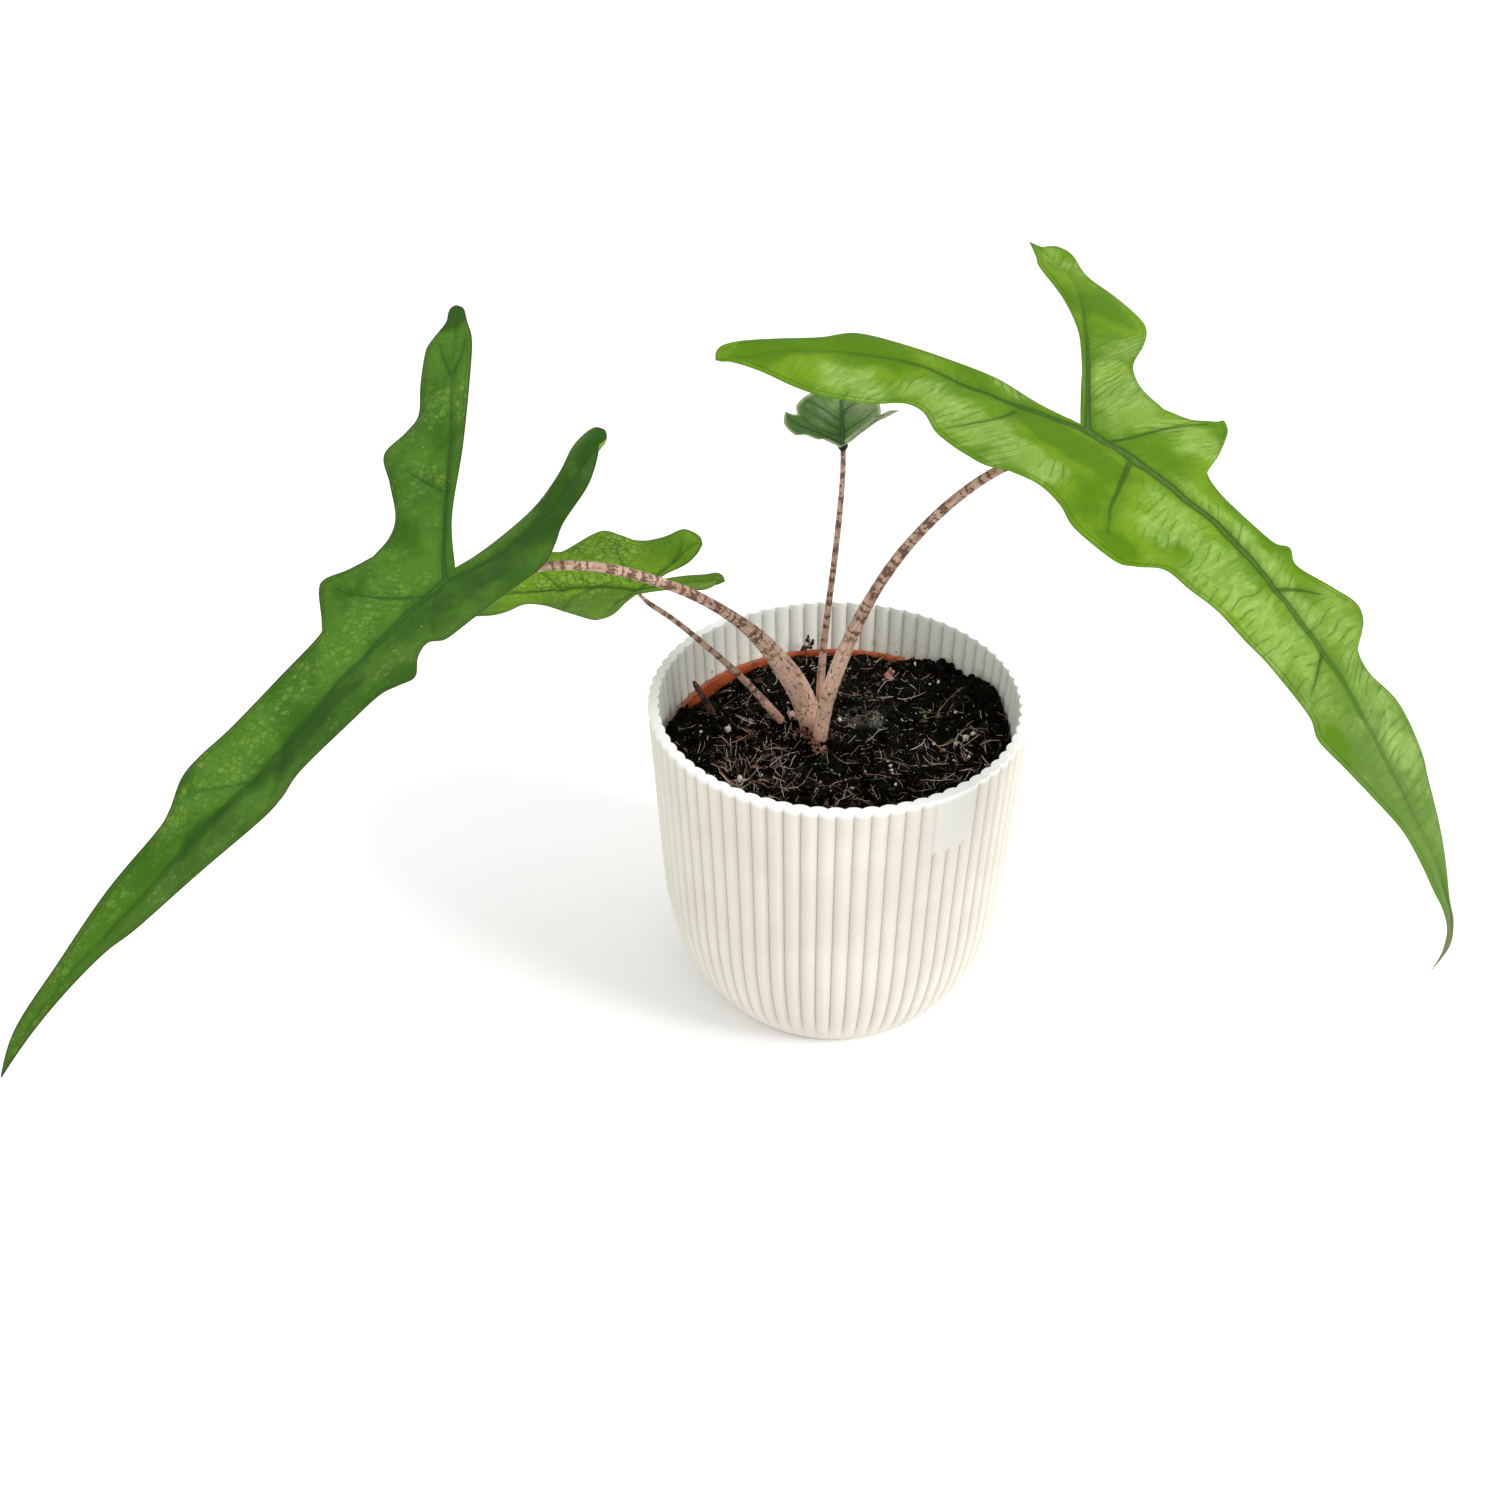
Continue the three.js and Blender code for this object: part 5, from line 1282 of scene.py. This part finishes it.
def fibre(heap, path, radius, shade, sides=5):
    """A strand through points, thinner at its ends."""
    curve = space_curve(path)
    t = np.linspace(0, 1, max(5, min(26, int(curve_length(curve) / 0.9))))
    width = radius * (0.35 + 0.65 * np.sin(math.pi * np.clip(t, 0.06, 0.94)) ** 0.5)
    flat = width * draws.uniform(0.55, 1.0)
    points, faces = skin(tube_rings(curve, t, sides, (width[:, None], flat[:, None])))
    heap.add(points, faces, shade)


def leaf_scrap(heap, centre, size, tilt, shade):
    """A thin curled scrap, a closed sheet with a ragged outline."""
    rows, columns = 8, 6
    s, c = np.meshgrid(np.linspace(-1, 1, rows), np.linspace(-1, 1, columns), indexing="ij")
    wide = np.sqrt(np.clip(1.02 - s**2, 0, 1)) * (0.75 + 0.25 * np.sin(3 * s + centre[0]))
    curl = 0.35 * (c**2 - 0.6 * s**2) + 0.16 * np.sin(4 * s + 3 * c)
    sheet = size * np.stack([s, c * wide * 0.45, curl], 2).reshape(-1, 3) @ spin(*tilt) + centre
    faces = grid_faces(sheet.reshape(rows, columns, 3))
    thick = point_normals(sheet, faces) * 0.12
    heap.add(np.vstack([sheet + thick, sheet - thick]), thin_shell(faces, len(sheet)), shade)


def edge_radius(angle):
    return float(soil_edge(np.array([angle]))[0][0])


def seat(x, y, above=0.0):
    """A place above the soil."""
    return np.array([x, y, float(soil_height(np.array([x]), np.array([y]))[0]) + above])


def clear_of_foot(x, y, room=7.0):
    """Whether a place is clear of the stalks' foot."""
    return math.hypot((x - STALKS_FOOT[0]) / 1.2, y - STALKS_FOOT[1]) > room


def strewn(count, limit, room=7.0):
    """Random places on the soil, out to a share of its radius, that are clear of the stalks' foot."""
    for _ in range(count):
        angle, out = draws.uniform(-math.pi, math.pi), math.sqrt(draws.uniform(0, 1)) * limit
        radius = edge_radius(angle)
        x, y = out * radius * math.cos(angle), out * radius * math.sin(angle)
        if clear_of_foot(x, y, room):
            yield x, y


def gathered(*places):
    """Random places round others, each given as x, y, its spread along both, and the count."""
    for x, y, wide, deep, count in places:
        for _ in range(count):
            yield x + draws.normal(0, wide), y + draws.normal(0, deep)


def in_the_open(places):
    """The places that are clear of the wall and of the stalks' foot."""
    return ((x, y) for x, y in places if math.hypot(x, y) < OPEN_RADIUS and clear_of_foot(x, y))


def lying_path(x, y, length, bend, rise):
    """Points of a strand that lies over the clods, arching a little from one to the next."""
    heading = draws.uniform(0, TURN)
    count = max(4, int(length / 2.2))
    path = []
    for k in range(count):
        path.append(seat(x, y, 0.25 + draws.uniform(-0.1, 0.5) + rise * (k / (count - 1))**2))
        heading += draws.normal(0, bend)
        x, y = x + length / count * math.cos(heading), y + length / count * math.sin(heading)
        limit, out = edge_radius(math.atan2(y, x)) - 0.6, math.hypot(x, y)
        if out > limit:
            x, y = x * limit / out, y * limit / out
            heading += 1.3
    path = np.array(path)
    for _ in range(2):
        path[1:-1, 2] = np.maximum(path[1:-1, 2], (path[:-2, 2] + path[2:, 2]) / 2 - 0.2)
    return path


def litter_look(name, ground, shades, stains, rough, relief, bumps=Look.cloud, specular=0.5):
    """A rough material whose tone follows the shade of each bit, with soft stains over it.

    Shades are bands of it and colours, stains are a scale, detail, band, share and colour, rough is
    a scale and two roughnesses, and relief is a scale and a height.
    """
    n = Look(name)
    shade, colour = n.value("shade"), ground
    for band, tint in shades:
        colour = n.blend(shade.band(*band) if band else shade, colour, tint)
    for scale, detail, low, high, share, tint in stains:
        colour = n.blend(n.cloud(n.place, scale, detail).band(low, high, 0.0, share), colour, tint)
    scale, height = relief
    return n.surface(colour, n.uneven(*rough), n.bump(bumps(n, n.place, scale), height), specular)


def make_crumbs(material):
    crumbs = Heap()
    for x, y in strewn(1150, 0.99, room=0):
        size = min(0.35 + draws.exponential(0.55), 2.4)
        if not clear_of_foot(x, y, 5.5):
            size *= 0.5
        crumb(crumbs, seat(x, y, 0.25 * size), size, draws.uniform(0.5, 0.95), 0.35, draws.uniform(0, 1))
    # Larger clods against the wall, at the right and round the rim: degrees, spread, count and size
    for middle, width, count, big in ((20, 13, 34, 3.2), (47, 8, 16, 2.4), (172, 12, 16, 2.2),
                                      (-90, 100, 60, 1.9)):
        for _ in range(count):
            angle = (middle + draws.normal(0, width * 0.6)) * DEG
            size = draws.uniform(0.45, 1) * big
            out = edge_radius(angle) - size * draws.uniform(0.8, 3.0)
            crumb(crumbs, seat(out * math.cos(angle), out * math.sin(angle), 0.3 * size), size,
                  draws.uniform(0.6, 0.95), 0.45, draws.uniform(0, 1), FINE_BALL)
    # Heaped against the foot of the stalks
    for x, y in gathered((-5.6, -3.0, 2.8, 1.5, 50), (-12.8, 0.4, 2.2, 1.6, 60), (-19.8, 12.4, 1.8, 1.4, 26)):
        size = draws.uniform(0.4, 1.3)
        crumb(crumbs, seat(x, y, draws.uniform(0.1, 0.9) * size), size,
              draws.uniform(0.6, 0.95), 0.45, draws.uniform(0, 1))
    crumbs.piece("soil_crumbs", material, "soil")


def make_fragments():
    """Chips and shreds of bark and peat, a few millimetres long at most, strewn all over."""
    chips = Heap()
    points, faces = COARSE_BALL
    for x, y in strewn(3600, 0.985, room=5.0):
        size = min(0.16 + draws.exponential(0.22), 1.3)
        shape = lump(points, [1, draws.uniform(0.25, 0.8), draws.uniform(0.15, 0.5)], 0.35)
        chips.add(shape * size + seat(x, y, 0.3 * size), faces, draws.uniform(0, 1))
    chips.piece("bark_chips", litter_look(
        "bark_and_peat_chips", (6, 5, 4), [((0.35, 0.8), (78, 68, 52)), ((0.86, 0.96), (236, 222, 200))],
        [(1.4, 4.0, 0.45, 0.7, 0.7, (26, 24, 17)), (0.09, 2.0, 0.5, 0.6, 0.5, (64, 74, 50))],
        rough=(1.5, 0.6, 0.9), relief=(3.0, 0.12), specular=0.25), "soil")


def make_strands():
    """Coconut fibres and fine roots all over, denser at the front and left, and hairs at the wall."""
    strands = Heap()
    for x, y in strewn(620, 0.98):
        length = min(2.5 + draws.exponential(4.0), 20)
        path = lying_path(x, y, length, draws.uniform(0.03, 0.4), draws.uniform(0, 1.2))
        fibre(strands, path, draws.uniform(0.035, 0.09), draws.uniform(0, 1), sides=4)
    twigs = gathered((-34, -18, 12, 12, 34), (-6, -36, 10, 10, 10), (42, -12, 9, 9, 18))
    for x, y in in_the_open(twigs):
        path = lying_path(x, y, draws.uniform(5, 13), 0.04, draws.uniform(0, 1.6))
        fibre(strands, path, draws.uniform(0.11, 0.2), draws.uniform(0.36, 0.75))
    tufts = gathered((-30, -16, 13, 13, 120), (-14, -34, 12, 12, 40), (45, -8, 10, 10, 34),
                     (28, -28, 12, 12, 24), (-30, 18, 10, 10, 34), (-14, 46, 8, 8, 16))
    for x, y in in_the_open(tufts):
        path = lying_path(x, y, draws.uniform(4, 16), draws.uniform(0.03, 0.3), draws.uniform(0, 2.0))
        fibre(strands, path, draws.uniform(0.05, 0.11), draws.uniform(0.1, 1) ** 1.3)
    # Hairs that lean up against the wall, at these degrees
    for degrees in (8, 12, 28, 33, 37, 41, 46, 58, 62, 147, 151, 158, 165, 171, 178, 184, 189):
        angle = degrees * DEG
        radius = edge_radius(angle) - 0.8
        foot = seat(radius * math.cos(angle), radius * math.sin(angle))
        lean, tall, bend = draws.uniform(-3, 3, 2), draws.uniform(3.5, 8), draws.uniform(-1.2, 1.2)
        path = foot + [(0, 0, -1), (lean[0] * 0.3, lean[1] * 0.3, tall * 0.4),
                       (lean[0] + bend * 0.5 - 0.005 * foot[0], lean[1] - 0.005 * foot[1], tall)]
        path[:, :2] *= np.minimum(1, HAIR_REACH / np.hypot(path[:, 0], path[:, 1]))[:, None]
        fibre(strands, path, 0.07, 0.05)
    strands.piece("fibres_and_roots", litter_look(
        "dry_fibres", (34, 25, 20), [((0.2, 0.5), (206, 162, 138)), ((0.55, 0.9), (255, 240, 224))],
        [(0.6, 4.0, 0.45, 0.7, 0.6, (78, 52, 40))], rough=(1.0, 0.6, 0.85), relief=(4.0, 0.08)), "soil")


def make_foot():
    """Reddish husk of the corm, torn along the lower left of the foot and spiky at its front."""
    husk = Heap()
    for _ in range(150):
        share = draws.uniform(0, 1)
        foot = seat(-14.5 + 8.5 * share + draws.normal(0, 0.9), 2.5 - 6.5 * share + draws.normal(0, 0.9))
        side, tall = draws.uniform(-1.6, 1.6, 2), draws.uniform(0.4, 2.4)
        path = foot + [(0, 0, -0.6), (side[0] * 0.5, side[1] * 0.5, tall),
                       (side[0] * 1.3, side[1] * 1.3, tall * draws.uniform(0.4, 1.5))]
        fibre(husk, path, draws.uniform(0.08, 0.28), draws.uniform(0, 1), sides=4)
    foot = seat(-6.6, -5.8)
    for _ in range(34):
        angle, reach = draws.uniform(0, TURN), draws.uniform(1.2, 3.6)
        x, y = reach * math.cos(angle), reach * math.sin(angle)
        path = foot + [(0, 0, 0.2), (x * 0.5, y * 0.5, draws.uniform(0.6, 1.8)),
                       (x, y, draws.uniform(0.3, 3.0))]
        fibre(husk, path, draws.uniform(0.1, 0.24), draws.uniform(0.4, 1), sides=4)
    for _ in range(90):
        angle = draws.uniform(-3.0, 0.6)
        x = -7.5 + 5.4 * math.cos(angle) * draws.uniform(0.85, 1.2)
        y = 3.4 + 5.6 * math.sin(angle) * draws.uniform(0.85, 1.2)
        crumb(husk, seat(x, y, draws.uniform(0.0, 1.4)), draws.uniform(0.3, 1.1), 0.6, 0.5,
              draws.uniform(0, 0.35))
    husk.piece("torn_husk", litter_look(
        "torn_husk", (34, 22, 16), [((0.1, 0.45), (150, 92, 72)), ((0.5, 0.95), (206, 152, 130))],
        [(0.9, 4.0, 0.45, 0.7, 0.7, (62, 36, 28))], rough=(2.0, 0.55, 0.8), relief=(3.0, 0.12)), "corm")


def make_perlite():
    """White and pinkish grains, a few at known places and the rest strewn."""
    grains = Heap()
    for x, y, size, shade in ((47.6, 0.0, 1.5, 0.9), (44.0, -1.5, 1.1, 0.6), (50.5, 1.2, 1.0, 0.8),
                              (-40.5, 8.1, 1.5, 0.75), (-36.0, -22.4, 1.5, 0.95), (-34.2, -21.0, 1.0, 0.8),
                              (-16.4, 15.6, 1.7, 0.35), (-15.0, 14.0, 1.1, 0.3), (1.9, 16.8, 1.0, 0.6)):
        crumb(grains, seat(x, y, size * 0.5), size, 0.8, 0.3, shade, FINE_BALL)
    for x, y in strewn(420, 0.96):
        size = min(0.14 + draws.exponential(0.14), 0.9)
        crumb(grains, seat(x, y, size * 0.45), size, 0.85, 0.25, draws.uniform(0, 1))
    grains.piece("perlite", litter_look(
        "perlite_grains", (186, 140, 122), [((0.1, 0.7), (222, 214, 200))],
        [(1.3, 4.0, 0.5, 0.7, 0.6, (120, 102, 88))],
        rough=(1.8, 0.7, 0.95), relief=(3.0, 0.2), bumps=Look.cells), "soil")


def make_moss():
    """Small green tufts and a few specks of moss."""
    tufts = Heap()
    for x, y in gathered((34.3, 18.9, 0.512, 0.512, 16), (-2.8, -13.7, 0.512, 0.512, 14),
                         (17.3, 12.1, 0.416, 0.416, 10), (-1.0, -16.5, 0.288, 0.288, 5),
                         (36.5, 20.5, 0.32, 0.32, 6)):
        crumb(tufts, seat(x, y, draws.uniform(0.1, 0.8)), draws.uniform(0.25, 0.62), 0.7, 0.35,
              draws.uniform(0, 1))
    for x, y in strewn(46, 0.9):
        crumb(tufts, seat(x, y, 0.1), draws.uniform(0.15, 0.35), 0.6, 0.4, draws.uniform(0, 0.6))
    tufts.piece("moss", litter_look(
        "moss_tufts", (74, 90, 44), [(None, (150, 172, 98))], [(2.5, 3.0, 0.45, 0.7, 0.7, (46, 50, 32))],
        rough=(3.0, 0.65, 0.9), relief=(4.0, 0.15)), "soil")


def make_scraps():
    """Dried scraps: one on end at the back, pink ones, and chips of bark."""
    scraps = Heap()
    for centre, size, tilt, shade in (
            ((-9.6, 59.0, 111.5), 2.6, (1.2, 0.4, 0.3), 0.15),
            ((-7.6, 59.3, 114.2), 2.4, (1.4, 1.0, 1.2), 0.25),
            ((-9.0, 58.8, 116.3), 1.7, (0.9, 1.5, 0.2), 0.1)):
        leaf_scrap(scraps, centre, size, tilt, shade)
    fibre(scraps, [(-11, 58, 107), (-9.8, 58.6, 111), (-8.4, 59, 115), (-8.8, 59.2, 118)], 0.22, 0.1)
    for x, y, size, tilt, shade in (
            (22.0, 43.0, 3.2, (1.2, 1.3, 0.4), 0.95), (23.4, 44.0, 2.4, (0.9, 1.2, 0.9), 0.85),
            (22.6, 41.2, 2.0, (1.3, 0.9, 2.2), 0.9), (39.5, -3.0, 2.0, (0.4, 0.3, 0.8), 0.8),
            (-30.5, -12.5, 2.0, (0.7, 0.2, 2.8), 0.75)):
        leaf_scrap(scraps, seat(x, y, size * 0.45), size, tilt, shade)
    for x, y in strewn(46, 0.95):
        size = draws.uniform(0.8, 2.3)
        tilt = (*draws.uniform(-0.5, 0.5, 2), draws.uniform(0, 6.28))
        leaf_scrap(scraps, seat(x, y, 0.3), size, tilt, draws.uniform(0, 0.6))
    scraps.piece("dried_scraps", litter_look(
        "dried_scraps", (42, 30, 24), [((0.1, 0.6), (112, 80, 60)), ((0.65, 0.9), (206, 146, 136))],
        [(0.8, 4.0, 0.45, 0.7, 0.6, (70, 48, 38))], rough=(1.2, 0.55, 0.8), relief=(1.8, 0.2)), "soil")


def make_stub():
    """The withered stalk: shrunken, grooved and split at its top."""
    sides, rings = 28, 90
    angle, t = angles(sides), np.linspace(0, 1, rings)
    width = (STUB["foot"] + (STUB["top"] - STUB["foot"]) * t)[:, None]
    grooves = 0.13 * np.sin(angle * 5 + 2.2 * t[:, None]) + 0.07 * np.sin(angle * 9 - 3 * t[:, None])
    flat = np.stack(np.broadcast_arrays(np.cos(angle) * 2, np.sin(angle) * 2, t[:, None] * 30), 2)
    crumple = 0.12 * noise(flat.reshape(-1, 3), 1.9, 8).reshape(flat.shape[:2])
    swell = (0.9 + grooves + crumple) * (1 - 0.45 * ease(t, 0.93, 1.0))[:, None]
    widths = (width * swell, width * 0.8 * swell)
    points, faces = skin(tube_rings(space_curve(STUB["path"]), t, sides, widths))
    n = Look("withered_stalk")
    grain = n.cloud(n.scaled(n.place, 1.6, 1.6, 0.25), 1.0, 5.0, 0.65)
    colour = n.blend(grain.band(0.35, 0.65), (44, 28, 22), (126, 86, 70)).layered(
        (n.cloud(n.place, 0.35).band(0.42, 0.62), (34, 24, 20)))
    material = n.surface(colour, grain.band(0.3, 0.7, 0.5, 0.8), n.bump(grain, 0.35))
    make_piece("withered_stalk_fine", points, faces, material, "withered_stalk", "withered_stalk_stub")


def give_corm_look():
    """The corm keeps its solid, under the soil, with a rough brown skin."""
    n = Look("corm_skin")
    rings = n.cloud(n.scaled(n.place, 0.3, 0.3, 1.4), 1.0, 5.0, 0.6)
    colour = n.blend(rings.band(0.35, 0.65), (62, 38, 26), (120, 84, 58))
    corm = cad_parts["corm_and_roots"]
    corm.data.materials.clear()
    corm.data.materials.append(n.surface(colour, rings.band(0.3, 0.7, 0.7, 0.95), n.bump(rings, 0.6)))


# Floor, light and camera

# The photograph's view
FOCAL_PIXELS, FRAME_PIXELS = 1704, 1500
CAMERA_PLACE = (-0.0323, -0.5119, 0.4799)
CAMERA_DOWN, CAMERA_ROLL = 36.22 * DEG, 0.38 * DEG


def add_floor():
    width, below = 30, 0.0004
    bpy.ops.mesh.primitive_plane_add(size=width, location=(0, 0, -below))
    floor = bpy.context.object
    floor.name = "pale_floor"
    n = Look("pale_floor")
    tone = n.cloud(n.add("TexCoord").outputs["Object"], 3.0) * 0.02 + 0.95
    floor.data.materials.append(n.surface(
        tone, 0.9, specular=0.1, Emission_Color=(1, 1, 1, 1), Emission_Strength=0.08))


def add_light(name, towards, strength, softness):
    """Studio light from one direction, as wide as softness degrees."""
    light = bpy.data.lights.new(name, "SUN")
    light.energy, light.angle = strength, softness * DEG
    lamp = bpy.data.objects.new(name, light)
    lamp.location = Vector(towards)
    lamp.rotation_euler = Vector(towards).to_track_quat("Z", "Y").to_euler()
    bpy.context.scene.collection.objects.link(lamp)


def add_world():
    world = bpy.data.worlds.new("studio")
    world.use_nodes = True
    backdrop = world.node_tree.nodes["Background"]
    backdrop.inputs["Color"].default_value = (1, 1, 1, 1)
    backdrop.inputs["Strength"].default_value = 0.66
    bpy.context.scene.world = world


def add_camera():
    camera = bpy.data.cameras.new("photo_view")
    camera.sensor_width = 36
    camera.lens = FOCAL_PIXELS / FRAME_PIXELS * camera.sensor_width
    camera.clip_start = 0.01
    viewer = bpy.data.objects.new("photo_view", camera)
    viewer.matrix_world = (
        Matrix.Translation(CAMERA_PLACE)
        @ Matrix.Rotation(math.pi / 2 - CAMERA_DOWN, 4, "X")
        @ Matrix.Rotation(-CAMERA_ROLL, 4, "Z"))
    bpy.context.scene.collection.objects.link(viewer)
    bpy.context.scene.camera = viewer


for leaf_name in LEAVES:
    make_leaf(leaf_name)
stalk_look = stalk_material()
for stalk_name in STALKS:
    make_stalk(stalk_name, stalk_look)
make_cover_pot()
make_nursery_pot()
soil_look = soil_material()
make_soil(soil_look)
make_crumbs(soil_look)
make_fragments()
make_strands()
make_foot()
make_perlite()
make_moss()
make_scraps()
make_stub()
give_corm_look()

add_floor()
add_world()
add_light("key", (0.85, -0.45, 0.62), 1.65, 18)
add_light("top", (0.1, 0.2, 1.0), 0.7, 50)
add_light("fill", (-0.35, -0.85, 0.8), 0.5, 60)
add_camera()
bpy.context.scene.view_settings.view_transform = "Standard"
